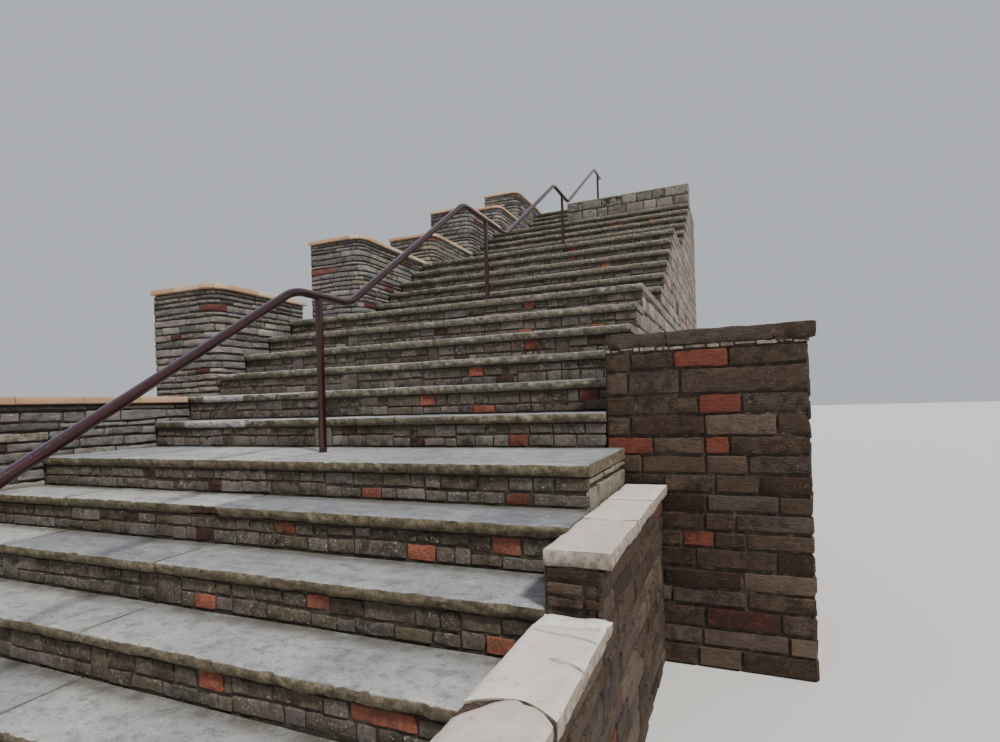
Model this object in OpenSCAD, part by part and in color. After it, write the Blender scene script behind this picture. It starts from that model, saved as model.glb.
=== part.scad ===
// Outdoor stone steps on a slope: a low flight, four steeper flights with deep landings,
// stepped planters along the left side, a kerb and a raised bed on the right, one central handrail.
// Millimetres. X runs along the step fronts, Y up the stair, Z up. The origin is the middle of
// the footprint, on the ground.

/* [Lower flight] */
// Height of each lower step
lower_rise = 165; // [130:1:200]
// Distance from one lower step front to the next
lower_going = 263; // [220:1:320]
// How far the lower flight runs past the upper ones on the right
lower_extra_w = 85; // [40:5:300]
// Depth of the first landing
first_landing_depth = 689; // [550:1:1200]

/* [Upper flights] */
// Width of the upper flights
stair_w = 3135; // [2500:5:4000]
// Height of each upper step
upper_rise = 172; // [140:1:210]
// Distance from one upper step front to the next
upper_going = 263; // [220:1:320]
// Depth of the landings between upper flights
landing_depth = 1076; // [900:1:1400]
// Width of the narrow top flight
top_flight_w = 1280; // [1000:10:1600]

/* [Stone sizes] */
// Thickness of the tread slabs
slab_t = 50; // [35:1:70]
// How far a tread slab overhangs its riser
nosing = 30; // [10:1:50]
// Thickness of the riser walls
riser_t = 110; // [80:1:150]
// Open joint between two slabs
slab_joint = 6; // [2:1:12]

/* [Planters] */
// Width of the stepped planters, from the stair to their outer face
planter_w = 690; // [560:10:900]
// Thickness of the planter walls beside the stair and at the front
planter_wall = 180; // [140:5:240]
// Thickness of the planter walls that are out of sight
planter_back_wall = 120; // [100:5:160]
// Radius of the planters' rounded corner beside the stair
planter_corner_r = 130; // [60:5:160]
// Thickness of the coping tiles
coping_t = 44; // [25:1:60]
// How far the coping overhangs the walls
coping_over = 25; // [5:1:40]
// Depth of an empty planter below its coping
planting_depth = 300; // [200:10:400]

/* [Kerb and raised bed] */
// Width of the kerb beside the lower flight
kerb_w = 165; // [130:5:220]
// Width of the raised bed, from the stair to its outer face
bed_w = 870; // [700:10:1100]
// Thickness of the raised bed's walls
bed_wall = 230; // [180:5:280]
// Thickness of the raised bed's rough coping slabs
bed_coping_t = 68; // [50:1:100]
// Height of the block wall beside the foot of the top flight
top_wall_h = 300; // [200:10:400]
// Thickness of that block wall
top_wall_t = 210; // [170:5:280]

/* [Handrail] */
// Diameter of the rail
rail_d = 42; // [34:1:60]
// Width of the square posts
post_w = 30; // [25:1:50]
// How much thicker the rail is at its welded bends
rail_knuckle = 3; // [2:1:8]
// Height of the rail's centre above a landing
rail_h = 818; // [750:1:1000]
// Distance of the rail to the right of the stair's middle
rail_x = 137; // [-200:1:200]

/* [Hidden] */
$fn = 32;

// Every flight has five treads and a landing.
steps = 6;
flights = 5;
left_x = -stair_w / 2;
right_x = stair_w / 2;
lower_right_x = right_x + lower_extra_w;
top_right_x = left_x + top_flight_w;
first_level = steps * lower_rise;
flight_rise = steps * upper_rise;
flight_run = (steps - 1) * upper_going + landing_depth;

// Step j of flight f: the line of its front edge, its top, the front line of the next step,
// and the back of its slab, which meets the face of the next riser wall.
function front_y(f, j) = f == 0 ? (j - steps + 1) * lower_going
    : first_landing_depth + (f - 1) * flight_run + j * upper_going;
function top_z(f, j) = f == 0 ? (j + 1) * lower_rise
    : first_level + (f - 1) * flight_rise + (j + 1) * upper_rise;
function next_y(f, j) = j < steps - 1 ? front_y(f, j + 1)
    : f < flights - 1 ? front_y(f + 1, 0) : front_y(f, j) + landing_depth;
function back_y(f, j) = next_y(f, j) + (f == flights - 1 && j == steps - 1 ? 0 : nosing);

// The right end of step j in flight f.
function end_x(f, j) = f == 0 ? lower_right_x : f == flights - 1 ? top_right_x : right_x;

// Slab joints of each flight: left joint, right joint, and the shift of the right one per step.
slab_joints = [[-900, 60, 12], [-740, 380, -60], [-800, 220, -6], [-500, 500, -35], [0, 0, 20]];
function joints(f, j) = f == flights - 1 ? [left_x + top_flight_w / 2 + slab_joints[f][2] * j]
    : [slab_joints[f][0], slab_joints[f][1] + slab_joints[f][2] * j];
function slab_edges(f, j) = concat([left_x], joints(f, j), [end_x(f, j)]);

// Where each planter starts, from the bottom up: a flight, a step of it, and how far behind that
// step's front line. Then a flight and a step, and how far the coping's top is above that step.
planter_starts = [[0, 0, 0], [1, 2, 0], [2, 0, 20], [2, 5, 323], [3, 2, -110], [3, 5, 320],
    [4, 1, -110]];
planter_heads = [[1, 1, 0], [1, 5, 205], [2, 5, 45], [3, 2, -20], [3, 5, 190], [4, 2, 60],
    [4, 5, 105]];
function planter_y(n) = front_y(planter_starts[n][0], planter_starts[n][1]) + planter_starts[n][2];
function planter_z(n) = top_z(planter_heads[n][0], planter_heads[n][1]) + planter_heads[n][2];

// The level way out to the left lies behind the second planter.
stair_end_y = next_y(flights - 1, steps - 1);
below_passage = 1;
passage_set_in = 205;
passage_y0 = front_y(1, steps - 1) + passage_set_in;
passage_y1 = planter_y(below_passage + 1);

// Planters: near end, far end, height of the coping's top, and whether the far end stands free.
last_planter = len(planter_starts) - 1;
function planter_end_y(n) = n == below_passage ? passage_y0
    : n == last_planter ? stair_end_y : planter_y(n + 1);
planters = [for (n = [0:last_planter])
    [planter_y(n), planter_end_y(n), planter_z(n), n == below_passage || n == last_planter]];
planter_out_x = left_x - planter_w;
stone = [0.58, 0.56, 0.50];
brown_stone = [0.42, 0.37, 0.32];
peach = [0.80, 0.62, 0.48];

bed_y0 = front_y(1, 0) + nosing;
bed_y1 = front_y(1, 5) + nosing;
bed_above_step = 24;
bed_top = top_z(1, 2) + bed_above_step;
bed_out_x = right_x + bed_w;

kerb_break_y = front_y(0, 3);
kerb_low_top = top_z(0, 3);
kerb_high_top = top_z(0, 4);
// Lengths of the kerb's first and last slab, on its low part and on its high part.
kerb_low_ends = [315, 135];
kerb_high_ends = [430, 430];
kerb_low_ys = [front_y(0, 0), front_y(0, 0) + kerb_low_ends[0], kerb_break_y - kerb_low_ends[1],
    kerb_break_y];
kerb_high_ys = [kerb_break_y, kerb_break_y + kerb_high_ends[0], bed_y0 - kerb_high_ends[1], bed_y0];

top_wall_set_back = 50;
top_wall_y = front_y(3, steps - 1) + top_wall_set_back;

// Handrail: the start and the end of each level stretch and the post under it, measured from the
// front of the next flight or, for the last stretch, from its own landing's front.
level_stretches = [[-464, -31], [-915, 5], [-753, -123], [200, 610]];
level_posts = [-285, -473, -391, 430];
last_level = len(level_stretches) - 1;
function level_start(k) = k < last_level ? front_y(k + 1, 0) : front_y(k, steps - 1);
// The rail's foot: its height above the lowest step, its start, its end and its post, measured
// from that step's front.
foot_h = 779;
foot_start = 35;
foot_end = 165;
foot_post = 105;
rail_foot_z = top_z(0, 0) + foot_h;
rail_foot = [rail_x, front_y(0, 0) + foot_start, rail_foot_z];
rail_foot_end = [rail_x, front_y(0, 0) + foot_end, rail_foot_z];

// The footprint's middle becomes the origin.
mid_x = (planter_out_x + bed_out_x + coping_over) / 2;
mid_y = (front_y(0, 0) - coping_over + stair_end_y + coping_over) / 2;
module placed() { translate([-mid_x, -mid_y, 0]) children(); }

// A box from its low corner to its high corner.
module span(low, high) {
    translate(low) cube([for (k = [0:2]) high[k] - low[k]]);
}

// The same box with its near right corner rounded.
module rounded_span(low, high, r) {
    difference() {
        span(low, high);
        difference() {
            span([high[0] - r, low[1] - 1, low[2] - 1], [high[0] + 1, low[1] + r, high[2] + 1]);
            translate([high[0] - r, low[1] + r, low[2] - 2])
                cylinder(h = high[2] - low[2] + 4, r = r);
        }
    }
}

// The slabs of one step, with open joints between them.
module slabs(f, j) {
    edges = slab_edges(f, j);
    placed() for (k = [0:len(edges) - 2])
        span([edges[k] + (k > 0 ? slab_joint / 2 : 0), front_y(f, j), top_z(f, j) - slab_t],
            [edges[k + 1] - (k < len(edges) - 2 ? slab_joint / 2 : 0), back_y(f, j), top_z(f, j)]);
}
module tread(number) {
    index = number - 1;
    color(stone) slabs(floor(index / (steps - 1)), index % (steps - 1));
}
module flight_treads(f) { color(stone) for (j = [0:steps - 2]) slabs(f, j); }
module landing(f) { color(stone) slabs(f, steps - 1); }

// Riser walls stand on the ground, one behind each step front.
module risers(f) {
    color(brown_stone) placed() for (j = [0:steps - 1])
        span([left_x, front_y(f, j) + nosing, 0],
            [end_x(f, j), front_y(f, j) + nosing + riser_t, top_z(f, j) - slab_t]);
}

// Rubble core between one riser wall and the next.
module core(f) {
    color(brown_stone) placed() for (j = [0:steps - 1])
        span([left_x, front_y(f, j) + nosing + riser_t, 0],
            [end_x(f, j), back_y(f, j), top_z(f, j) - slab_t]);
}

// Level way out to the left, between two planters.
module side_landing() {
    color(stone) placed()
        span([planter_out_x, passage_y0, 0], [left_x, passage_y1, top_z(1, 5)]);
}

// A planter: four walls round a space that is open at the top.
module planter(n) {
    p = planters[n];
    color(stone) placed() difference() {
        rounded_span([planter_out_x, p[0], 0], [left_x, p[1], p[2] - coping_t], planter_corner_r);
        span([planter_out_x + planter_back_wall, p[0] + planter_wall, -1],
            [left_x - planter_wall, p[1] - planter_back_wall, p[2]]);
    }
}

// The rubble that fills each planter and the raised bed up to the planting depth.
module planter_fill() {
    color(brown_stone) placed() {
        for (p = planters)
            span([planter_out_x + planter_back_wall, p[0] + planter_wall, 0],
                [left_x - planter_wall, p[1] - planter_back_wall, p[2] - coping_t - planting_depth]);
        span([right_x, bed_y0 + bed_wall, 0],
            [bed_out_x - bed_wall, bed_y1 - bed_wall, bed_top - bed_coping_t - planting_depth]);
    }
}

// Coping tiles: a front row, a row beside the stair, an end row and a back row.
module coping(n) {
    p = planters[n];
    low = p[2] - coping_t;
    side_in = left_x - planter_wall - coping_over;
    back_in = planter_out_x + planter_back_wall;
    front_in = p[0] + planter_wall + coping_over;
    end_in = p[1] - planter_back_wall;
    end_out = p[1] + (p[3] ? coping_over : 0);
    side_end = n == 0 ? front_y(1, 1) - slab_joint : end_out;
    rounded_span([planter_out_x, p[0] - coping_over, low],
        [left_x + coping_over, front_in, p[2]], planter_corner_r + coping_over);
    span([side_in, front_in + slab_joint, low], [left_x + coping_over, side_end, p[2]]);
    if (n == 0) span([side_in, side_end + slab_joint, low], [left_x, end_out, p[2]]);
    span([back_in + slab_joint, end_in, low], [side_in - slab_joint, end_out, p[2]]);
    span([planter_out_x, front_in + slab_joint, low], [back_in, end_out, p[2]]);
}
module planter_copings() {
    color(peach) placed() for (n = [0:len(planters) - 1]) coping(n);
}

// Kerb wall beside the lower flight, and the broad slabs on it.
module kerb_wall() {
    color(brown_stone) placed() {
        span([lower_right_x, front_y(0, 0), 0],
            [lower_right_x + kerb_w, kerb_break_y, kerb_low_top - slab_t]);
        span([lower_right_x, kerb_break_y, 0],
            [lower_right_x + kerb_w, bed_y0, kerb_high_top - slab_t]);
    }
}
module kerb_row(ys, top) {
    for (k = [0:len(ys) - 2])
        span([lower_right_x, ys[k], top - slab_t],
            [lower_right_x + kerb_w + coping_over, ys[k + 1] - slab_joint, top]);
}
module kerb_slabs() {
    color(stone) placed() {
        kerb_row(kerb_low_ys, kerb_low_top);
        kerb_row(kerb_high_ys, kerb_high_top);
    }
}

// Raised bed on the right of the first upper flight.
module bed_wall_right() {
    color(brown_stone) placed() difference() {
        span([right_x, bed_y0, 0], [bed_out_x, bed_y1, bed_top - bed_coping_t]);
        span([right_x - 1, bed_y0 + bed_wall, -1],
            [bed_out_x - bed_wall, bed_y1 - bed_wall, bed_top]);
    }
}
module bed_coping() {
    low = bed_top - bed_coping_t;
    inner_x = bed_out_x - bed_wall;
    color(brown_stone) placed() {
        span([right_x, bed_y0, low], [bed_out_x + coping_over, bed_y0 + bed_wall, bed_top]);
        span([inner_x, bed_y0 + bed_wall + slab_joint, low], [bed_out_x + coping_over, bed_y1, bed_top]);
        span([right_x, bed_y1 - bed_wall, low], [inner_x - slab_joint, bed_y1, bed_top]);
    }
}

// Low wall of blocks that closes the fourth landing beside the narrow top flight.
module top_block_wall() {
    color(stone) placed()
        span([top_right_x, top_wall_y, top_z(3, 5)],
            [right_x, top_wall_y + top_wall_t, top_z(3, 5) + top_wall_h]);
}

// Points of the rail's centre line, from the foot up.
rail_points = concat([rail_foot, rail_foot_end],
    [for (k = [0:last_level]) for (y = level_stretches[k])
        [rail_x, level_start(k) + y, top_z(k, steps - 1) + rail_h]]);

// A round bar from one point to another.
module bar(a, b, d) {
    v = b - a;
    length = norm(v);
    translate(a) rotate([0, acos(v[2] / length), atan2(v[1], v[0])]) cylinder(h = length, d = d);
}
module rail_body() {
    for (k = [0:len(rail_points) - 2]) bar(rail_points[k], rail_points[k + 1], rail_d);
    for (point = rail_points) translate(point) sphere(d = rail_d + rail_knuckle);
}
module handrail() {
    color([0.25, 0.12, 0.12]) placed() rail_body();
}

// Square posts, each cut to the rail that it carries.
module post(x, y, low, rail_z) {
    difference() {
        translate([x - post_w / 2, y - post_w / 2, low]) cube([post_w, post_w, rail_z - low]);
        translate([x, y - 2 * post_w, rail_z]) rotate([-90, 0, 0])
            cylinder(h = 4 * post_w, d = rail_d);
    }
}
module handrail_posts() {
    color([0.25, 0.12, 0.12]) placed() {
        for (k = [0:last_level])
            post(rail_x, level_start(k) + level_posts[k], top_z(k, steps - 1),
                top_z(k, steps - 1) + rail_h);
        post(rail_x, front_y(0, 0) + foot_post, top_z(0, 0), rail_foot_z);
    }
}

tread(1);  // tread_01
tread(2);  // tread_02
tread(3);  // tread_03
tread(4);  // tread_04
tread(5);  // tread_05
tread(6);  // tread_06
tread(7);  // tread_07
tread(8);  // tread_08
tread(9);  // tread_09
tread(10);  // tread_10
flight_treads(2);  // flight_3_treads
flight_treads(3);  // flight_4_treads
flight_treads(4);  // flight_5_treads
landing(0);  // landing_1
landing(1);  // landing_2
landing(2);  // landing_3
landing(3);  // landing_4
landing(4);  // landing_5
risers(0);  // flight_1_risers
risers(1);  // flight_2_risers
risers(2);  // flight_3_risers
risers(3);  // flight_4_risers
risers(4);  // flight_5_risers
core(0);  // flight_1_core
core(1);  // flight_2_core
core(2);  // flight_3_core
core(3);  // flight_4_core
core(4);  // flight_5_core
side_landing();
planter(0);  // planter_a
planter(1);  // planter_b
planter(2);  // planter_c
planter(3);  // planter_d
planter(4);  // planter_e
planter(5);  // planter_f
planter(6);  // planter_g
planter_fill();
planter_copings();
kerb_wall();
kerb_slabs();
bed_wall_right();
bed_coping();
top_block_wall();
handrail();
handrail_posts();
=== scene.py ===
"""Visual model of the outdoor stone steps: slabs, riser blocks, ledgestone planters, copings,
kerb, raised bed and handrail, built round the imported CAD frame. Lengths here are millimetres in
the stair's own axes: x from the middle of the stair, y from the front of the first landing."""
import bpy
import math
import numpy as np
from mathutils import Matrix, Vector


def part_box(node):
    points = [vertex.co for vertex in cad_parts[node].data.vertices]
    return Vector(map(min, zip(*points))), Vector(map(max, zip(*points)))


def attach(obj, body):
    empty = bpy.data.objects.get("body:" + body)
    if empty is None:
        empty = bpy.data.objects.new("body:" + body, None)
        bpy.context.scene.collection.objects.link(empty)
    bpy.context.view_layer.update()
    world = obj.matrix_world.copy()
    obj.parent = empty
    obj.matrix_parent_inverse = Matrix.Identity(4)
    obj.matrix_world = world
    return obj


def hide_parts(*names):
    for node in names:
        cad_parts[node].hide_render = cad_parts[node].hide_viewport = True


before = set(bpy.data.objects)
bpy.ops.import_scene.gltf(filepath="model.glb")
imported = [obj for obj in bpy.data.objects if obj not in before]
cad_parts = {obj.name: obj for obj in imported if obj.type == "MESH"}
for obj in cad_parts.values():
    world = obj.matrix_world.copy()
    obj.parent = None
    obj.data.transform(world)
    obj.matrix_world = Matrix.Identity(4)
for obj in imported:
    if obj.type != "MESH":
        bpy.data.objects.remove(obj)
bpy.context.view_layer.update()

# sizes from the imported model
MID_X = -500.0 * (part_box("landing_2")[0][0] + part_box("landing_2")[1][0])
MID_Y = -1000.0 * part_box("landing_1")[0][1]
SHIFT = np.array([MID_X, MID_Y, 0.0])
FLIGHTS, STEPS = 5, 6
LAST = STEPS - 1
NOSING = 30.0


def box_mm(node):
    lo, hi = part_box(node)
    return np.array(lo) * 1000 + SHIFT, np.array(hi) * 1000 + SHIFT


LANDING = [box_mm("landing_%d" % (f + 1)) for f in range(FLIGHTS)]
FIRST_Y = [box_mm("flight_%d_risers" % (f + 1))[0][1] - NOSING for f in range(FLIGHTS)]
SLAB = LANDING[0][1][2] - LANDING[0][0][2]
LEFT = LANDING[0][0][0]
STAIR_END = LANDING[4][1][1]
UPPER_RISE = 172.0


def front(f, j):
    """Front line of step j in flight f."""
    return FIRST_Y[f] + j * (LANDING[f][0][1] - FIRST_Y[f]) / LAST


def top(f, j):
    """Height of step j in flight f."""
    below = LANDING[f - 1][1][2] if f else 0.0
    return below + (j + 1) * (LANDING[f][1][2] - below) / STEPS


def back(f, j):
    """Back line of step j, under the nosing of the next one."""
    if j < LAST:
        return front(f, j + 1) + NOSING
    return front(f + 1, 0) + NOSING if f < FLIGHTS - 1 else STAIR_END


def end_x(f):
    return LANDING[f][1][0]


PLANTER_NAMES = "abcdefg"
PLANTERS = []
for letter in PLANTER_NAMES:
    lo, hi = box_mm("planter_" + letter)
    PLANTERS.append((lo[1], hi[1], hi[2]))
OUTER = box_mm("planter_a")[0][0]
COPING_T = box_mm("planter_copings")[1][2] - PLANTERS[-1][2]
COPING_OVER = 25.0
PLANTER_WALL, PLANTER_BACK = 180.0, 120.0
CORNER_R = 130.0
SIDE_LANDING = box_mm("side_landing")
BED, BED_COPING, BED_WALL = box_mm("bed_wall_right"), box_mm("bed_coping"), 230.0
FILL_DEPTH = 300.0
# how far the mortar lies behind the stones' faces
MORTAR_IN, RISER_MORTAR = 15.0, 8.0

# large odd numbers that scatter the corners of the noise's cells
SCATTER = (73856093, 19349663, 83492791)
STIR = (1274126177, 668265263)


def noise(p, seed=0):
    """Smooth value noise in -1..1 at points p (..., 3)."""
    p = np.asarray(p, float)
    cell = np.floor(p).astype(np.int64)
    t = p - cell
    t = t * t * (3 - 2 * t)
    total = 0.0
    for corner in np.ndindex(2, 2, 2):
        h = seed * 40503 + 977
        weight = 1.0
        for axis, far in enumerate(corner):
            h = h ^ ((cell[..., axis] + far) * SCATTER[axis])
            weight = weight * (t[..., axis] if far else 1 - t[..., axis])
        h = (h ^ (h >> 13)) * STIR[0] & 0xffffffff
        h = (h ^ (h >> 16)) * STIR[1] & 0xffffffff
        total = total + weight * (((h ^ (h >> 15)) & 0xffff) / 32767.5 - 1)
    return total


def noise1(x, scale, seed):
    x = np.asarray(x, float) / scale
    return noise(np.stack([x, x * 0 + seed * 7.31, x * 0 + 0.5], -1), seed)


def fbm(p, scale, seed):
    """Three octaves of noise."""
    p = np.asarray(p, float) / scale
    return sum(0.5 ** k * noise(p * 2 ** k, seed + k) for k in range(3))


# mesh collecting
PLAIN = (0.5, 0, 0.5)


class Bin:
    """Gathers vertices, faces, tones and material numbers of one piece."""

    def __init__(self):
        self.verts, self.faces, self.tones, self.mats, self.count = [], [], [], [], 0

    def add(self, verts, faces, tone, mat=0):
        verts = np.asarray(verts, float).reshape(-1, 3)
        tone = np.asarray(tone, float)
        if tone.shape[-1] == 3:
            tone = np.concatenate([tone, tone[..., :1] * 0], -1)
        self.verts.append(verts)
        self.tones.append(np.broadcast_to(tone, (len(verts), 4)))
        for group in (faces if isinstance(faces, list) else [faces]):
            group = np.asarray(group)
            self.faces.append(group + self.count)
            self.mats.append(np.full(len(group), mat))
        self.count += len(verts)

    def build(self, name, materials, nodes, smooth=40):
        verts = (np.concatenate(self.verts) - SHIFT) / 1000
        loops = np.concatenate([f.reshape(-1) for f in self.faces])
        sizes = np.concatenate([np.full(len(f), f.shape[1]) for f in self.faces])
        starts = np.concatenate([[0], np.cumsum(sizes)[:-1]])
        mesh = bpy.data.meshes.new(name)
        mesh.vertices.add(len(verts))
        mesh.vertices.foreach_set("co", verts.reshape(-1))
        mesh.loops.add(len(loops))
        mesh.loops.foreach_set("vertex_index", loops.astype(np.int32))
        mesh.polygons.add(len(sizes))
        mesh.polygons.foreach_set("loop_start", starts.astype(np.int32))
        mesh.polygons.foreach_set("loop_total", sizes.astype(np.int32))
        mesh.polygons.foreach_set("material_index", np.concatenate(self.mats).astype(np.int32))
        tone = mesh.attributes.new("tone", "FLOAT_COLOR", "POINT")
        tone.data.foreach_set("color", np.concatenate(self.tones).reshape(-1))
        mesh.update(calc_edges=True)
        mesh.validate()
        obj = bpy.data.objects.new(name, mesh)
        bpy.context.scene.collection.objects.link(obj)
        for m in materials:
            mesh.materials.append(m)
        mesh.shade_smooth()
        mesh.set_sharp_from_angle(angle=math.radians(smooth))
        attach(obj, "root")
        if nodes:
            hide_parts(*nodes)
        return obj


def pairs(line):
    """Each entry of a line with the next one."""
    return list(zip(line[:-1], line[1:]))


def rim_order(nu, nv):
    """Rows and columns of the points round the rim of a grid of nu by nv facets."""
    order = ([(0, i) for i in range(nu)] + [(j, nu) for j in range(nv)]
             + [(nv, i) for i in range(nu, 0, -1)] + [(j, 0) for j in range(nv, 0, -1)])
    return [np.array(k) for k in zip(*order)]


def grid_quads(nu, nv):
    first = (np.arange(nv)[:, None] * (nu + 1) + np.arange(nu)[None]).reshape(-1, 1)
    return first + np.array([0, 1, nu + 2, nu + 1])


def skirt(upper, lower):
    """Faces between two rings of point numbers."""
    return np.stack([np.roll(upper, -1), upper, lower, np.roll(lower, -1)], -1)


def ring_faces(rows, across, flip=False):
    """Faces between rows of points, where each row is a ring, and a cap on the first and last."""
    i = np.arange(rows - 1)[:, None] * across
    k = np.arange(across)[None]
    k2 = (k + 1) % across
    quads = np.stack([i + k, i + k2, i + across + k2, i + across + k], -1).reshape(-1, 4)
    faces = [quads, k[:, ::-1], (rows - 1) * across + k]
    return [group[:, ::-1] for group in faces] if flip else faces


def solid_box(b, lo, hi, mat):
    x, y, z = zip(lo, hi)
    v = [(x[i], y[j], z[k]) for k in (0, 1) for j in (0, 1) for i in (0, 1)]
    f = [(0, 2, 3, 1), (4, 5, 7, 6), (0, 1, 5, 4), (2, 6, 7, 3), (0, 4, 6, 2), (1, 3, 7, 5)]
    b.add(v, np.array(f), PLAIN, mat)


def ring_prism(b, outer, inner, z0, z1, mat):
    """A wall between two closed outlines with the same number of points, from z0 to z1."""
    n = len(outer)
    v = np.array([(p[0], p[1], z) for z in (z0, z1) for ring in (outer, inner) for p in ring])
    quads, tris = [], []
    for k in range(n):
        m = (k + 1) % n
        ol, il, oh, ih = (k + n * part for part in range(4))
        om, im, ohm, ihm = (m + n * part for part in range(4))
        quads.append((ol, om, ohm, oh))
        if inner[k] == inner[m]:
            tris += [(oh, ohm, ih), (om, ol, il)]
        else:
            quads += [(im, il, ih, ihm), (oh, ohm, ihm, ih), (om, ol, il, im)]
    b.add(v, [np.array(quads), np.array(tris)], PLAIN, mat)


# faces of walls: each gives the place of a point u along, v up and w out, and if faces are flipped
def front_map(y0):
    return (lambda u, v, w: np.stack([u, y0 - w, v], -1)), False


def back_map(y0):
    return (lambda u, v, w: np.stack([u, y0 + w, v], -1)), True


def right_map(x0):
    return (lambda u, v, w: np.stack([x0 + w, u, v], -1)), False


def left_map(x0):
    return (lambda u, v, w: np.stack([x0 - w, u, v], -1)), True


def corner_map(x_start, x_side, y_front, r):
    """Along a front from x_start, round a corner of radius r, then along the side x_side."""
    straight = x_side - r - x_start
    arc = r * math.pi / 2

    def place(u, v, w):
        th = np.clip((u - straight) / r, 0, math.pi / 2)
        on = np.minimum(u, straight)
        rest = np.maximum(u - straight - arc, 0)
        x = x_start + on + (r + w) * np.sin(th)
        y = y_front + r - (r + w) * np.cos(th) + rest
        return np.stack([x, y, v], -1)
    return (place, False), straight, arc


def wander(low, high, amount, seed):
    """A slow rise and fall of the courses that dies out at the foot and the head of a wall."""
    def warp(u, v):
        calm = np.clip(np.minimum(v - low, high - v) / 60.0, 0, 1)
        return amount * calm * noise(np.stack([u / 310, v / 85, u * 0 + seed * 3.3], -1), 12)
    return warp


# Kinds of stone: width and rows of the facets, rounded edge, roughness, set-back from the face
# and raggedness of the outline. The facets of two kinds are given where they are used.
RISER_STONE = (4.5, 2.4, 3.0, 2.4)
CORE_STONE = (60, 3, 9, 3.2, 5, 3.5)
LEDGE_STONE = (27, 4, 8, 3.4, 4.2, 2.8)
PLAIN_STONE = (75, 3, 8, 2.4, 5, 3)
SMALL_STONE = (55, 3, 7, 2.2, 5, 3)
BED_STONE = (16, 6, 7, 4.2, 4.0, 3.4)
CRUMB = (9, 2, 4, 3.5, 3.5, 2.5)
BLOCK_STONE = (13, 4.0, 5, 4)
# Ways of laying them: shortest and longest stone, joints beside and above, least height, and how
# much lower than its course a stone may be.
RISER_LAY = (72, 200, 3, 3.5, 10, 6)
CORE_LAY = (130, 380, 6, 7, 22, 6)
LEDGE_LAY = (90, 430, 4, 5, 16, 7)
OUTER_LAY = (150, 420, 6, 8, 20)
END_LAY = (120, 330, 6, 8, 16)
KERB_LAY, KERB_FRONT_LAY, KERB_STEP_LAY = (110, 300, 8, 9, 18), (70, 165, 8, 9, 18), (60, 150, 5, 6, 18)
CRUMB_LAY, BED_LOW_LAY, BED_SIDE_LAY = (24, 95, 3, 3, 6, 9), (130, 360, 6, 7, 18, 5), (140, 380, 8, 9, 20)
BLOCK_LAY = (170, 330, 7, 7, 20)


def blocks(b, rng, rects, place, tones, pitch, nv, edge, rough, back_off, jitter, flip=False,
           depth=MORTAR_IN + 2, mat=0, strata=1.0, dirt=None, warp=None):
    """Rough stones, one for each rect (u0, u1, v0, v1), with facets about one pitch wide."""
    rects, tones = np.asarray(rects, float).reshape(-1, 4), np.asarray(tones, float)
    wide = np.clip(np.round((rects[:, 1] - rects[:, 0]) / pitch), 3, 16).astype(int)
    for nu in np.unique(wide):
        some = wide == nu
        block_group(b, rng, rects[some], place, tones[some], nu, nv, edge, rough, back_off, jitter, flip,
                    depth, mat, strata, dirt, warp)


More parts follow.
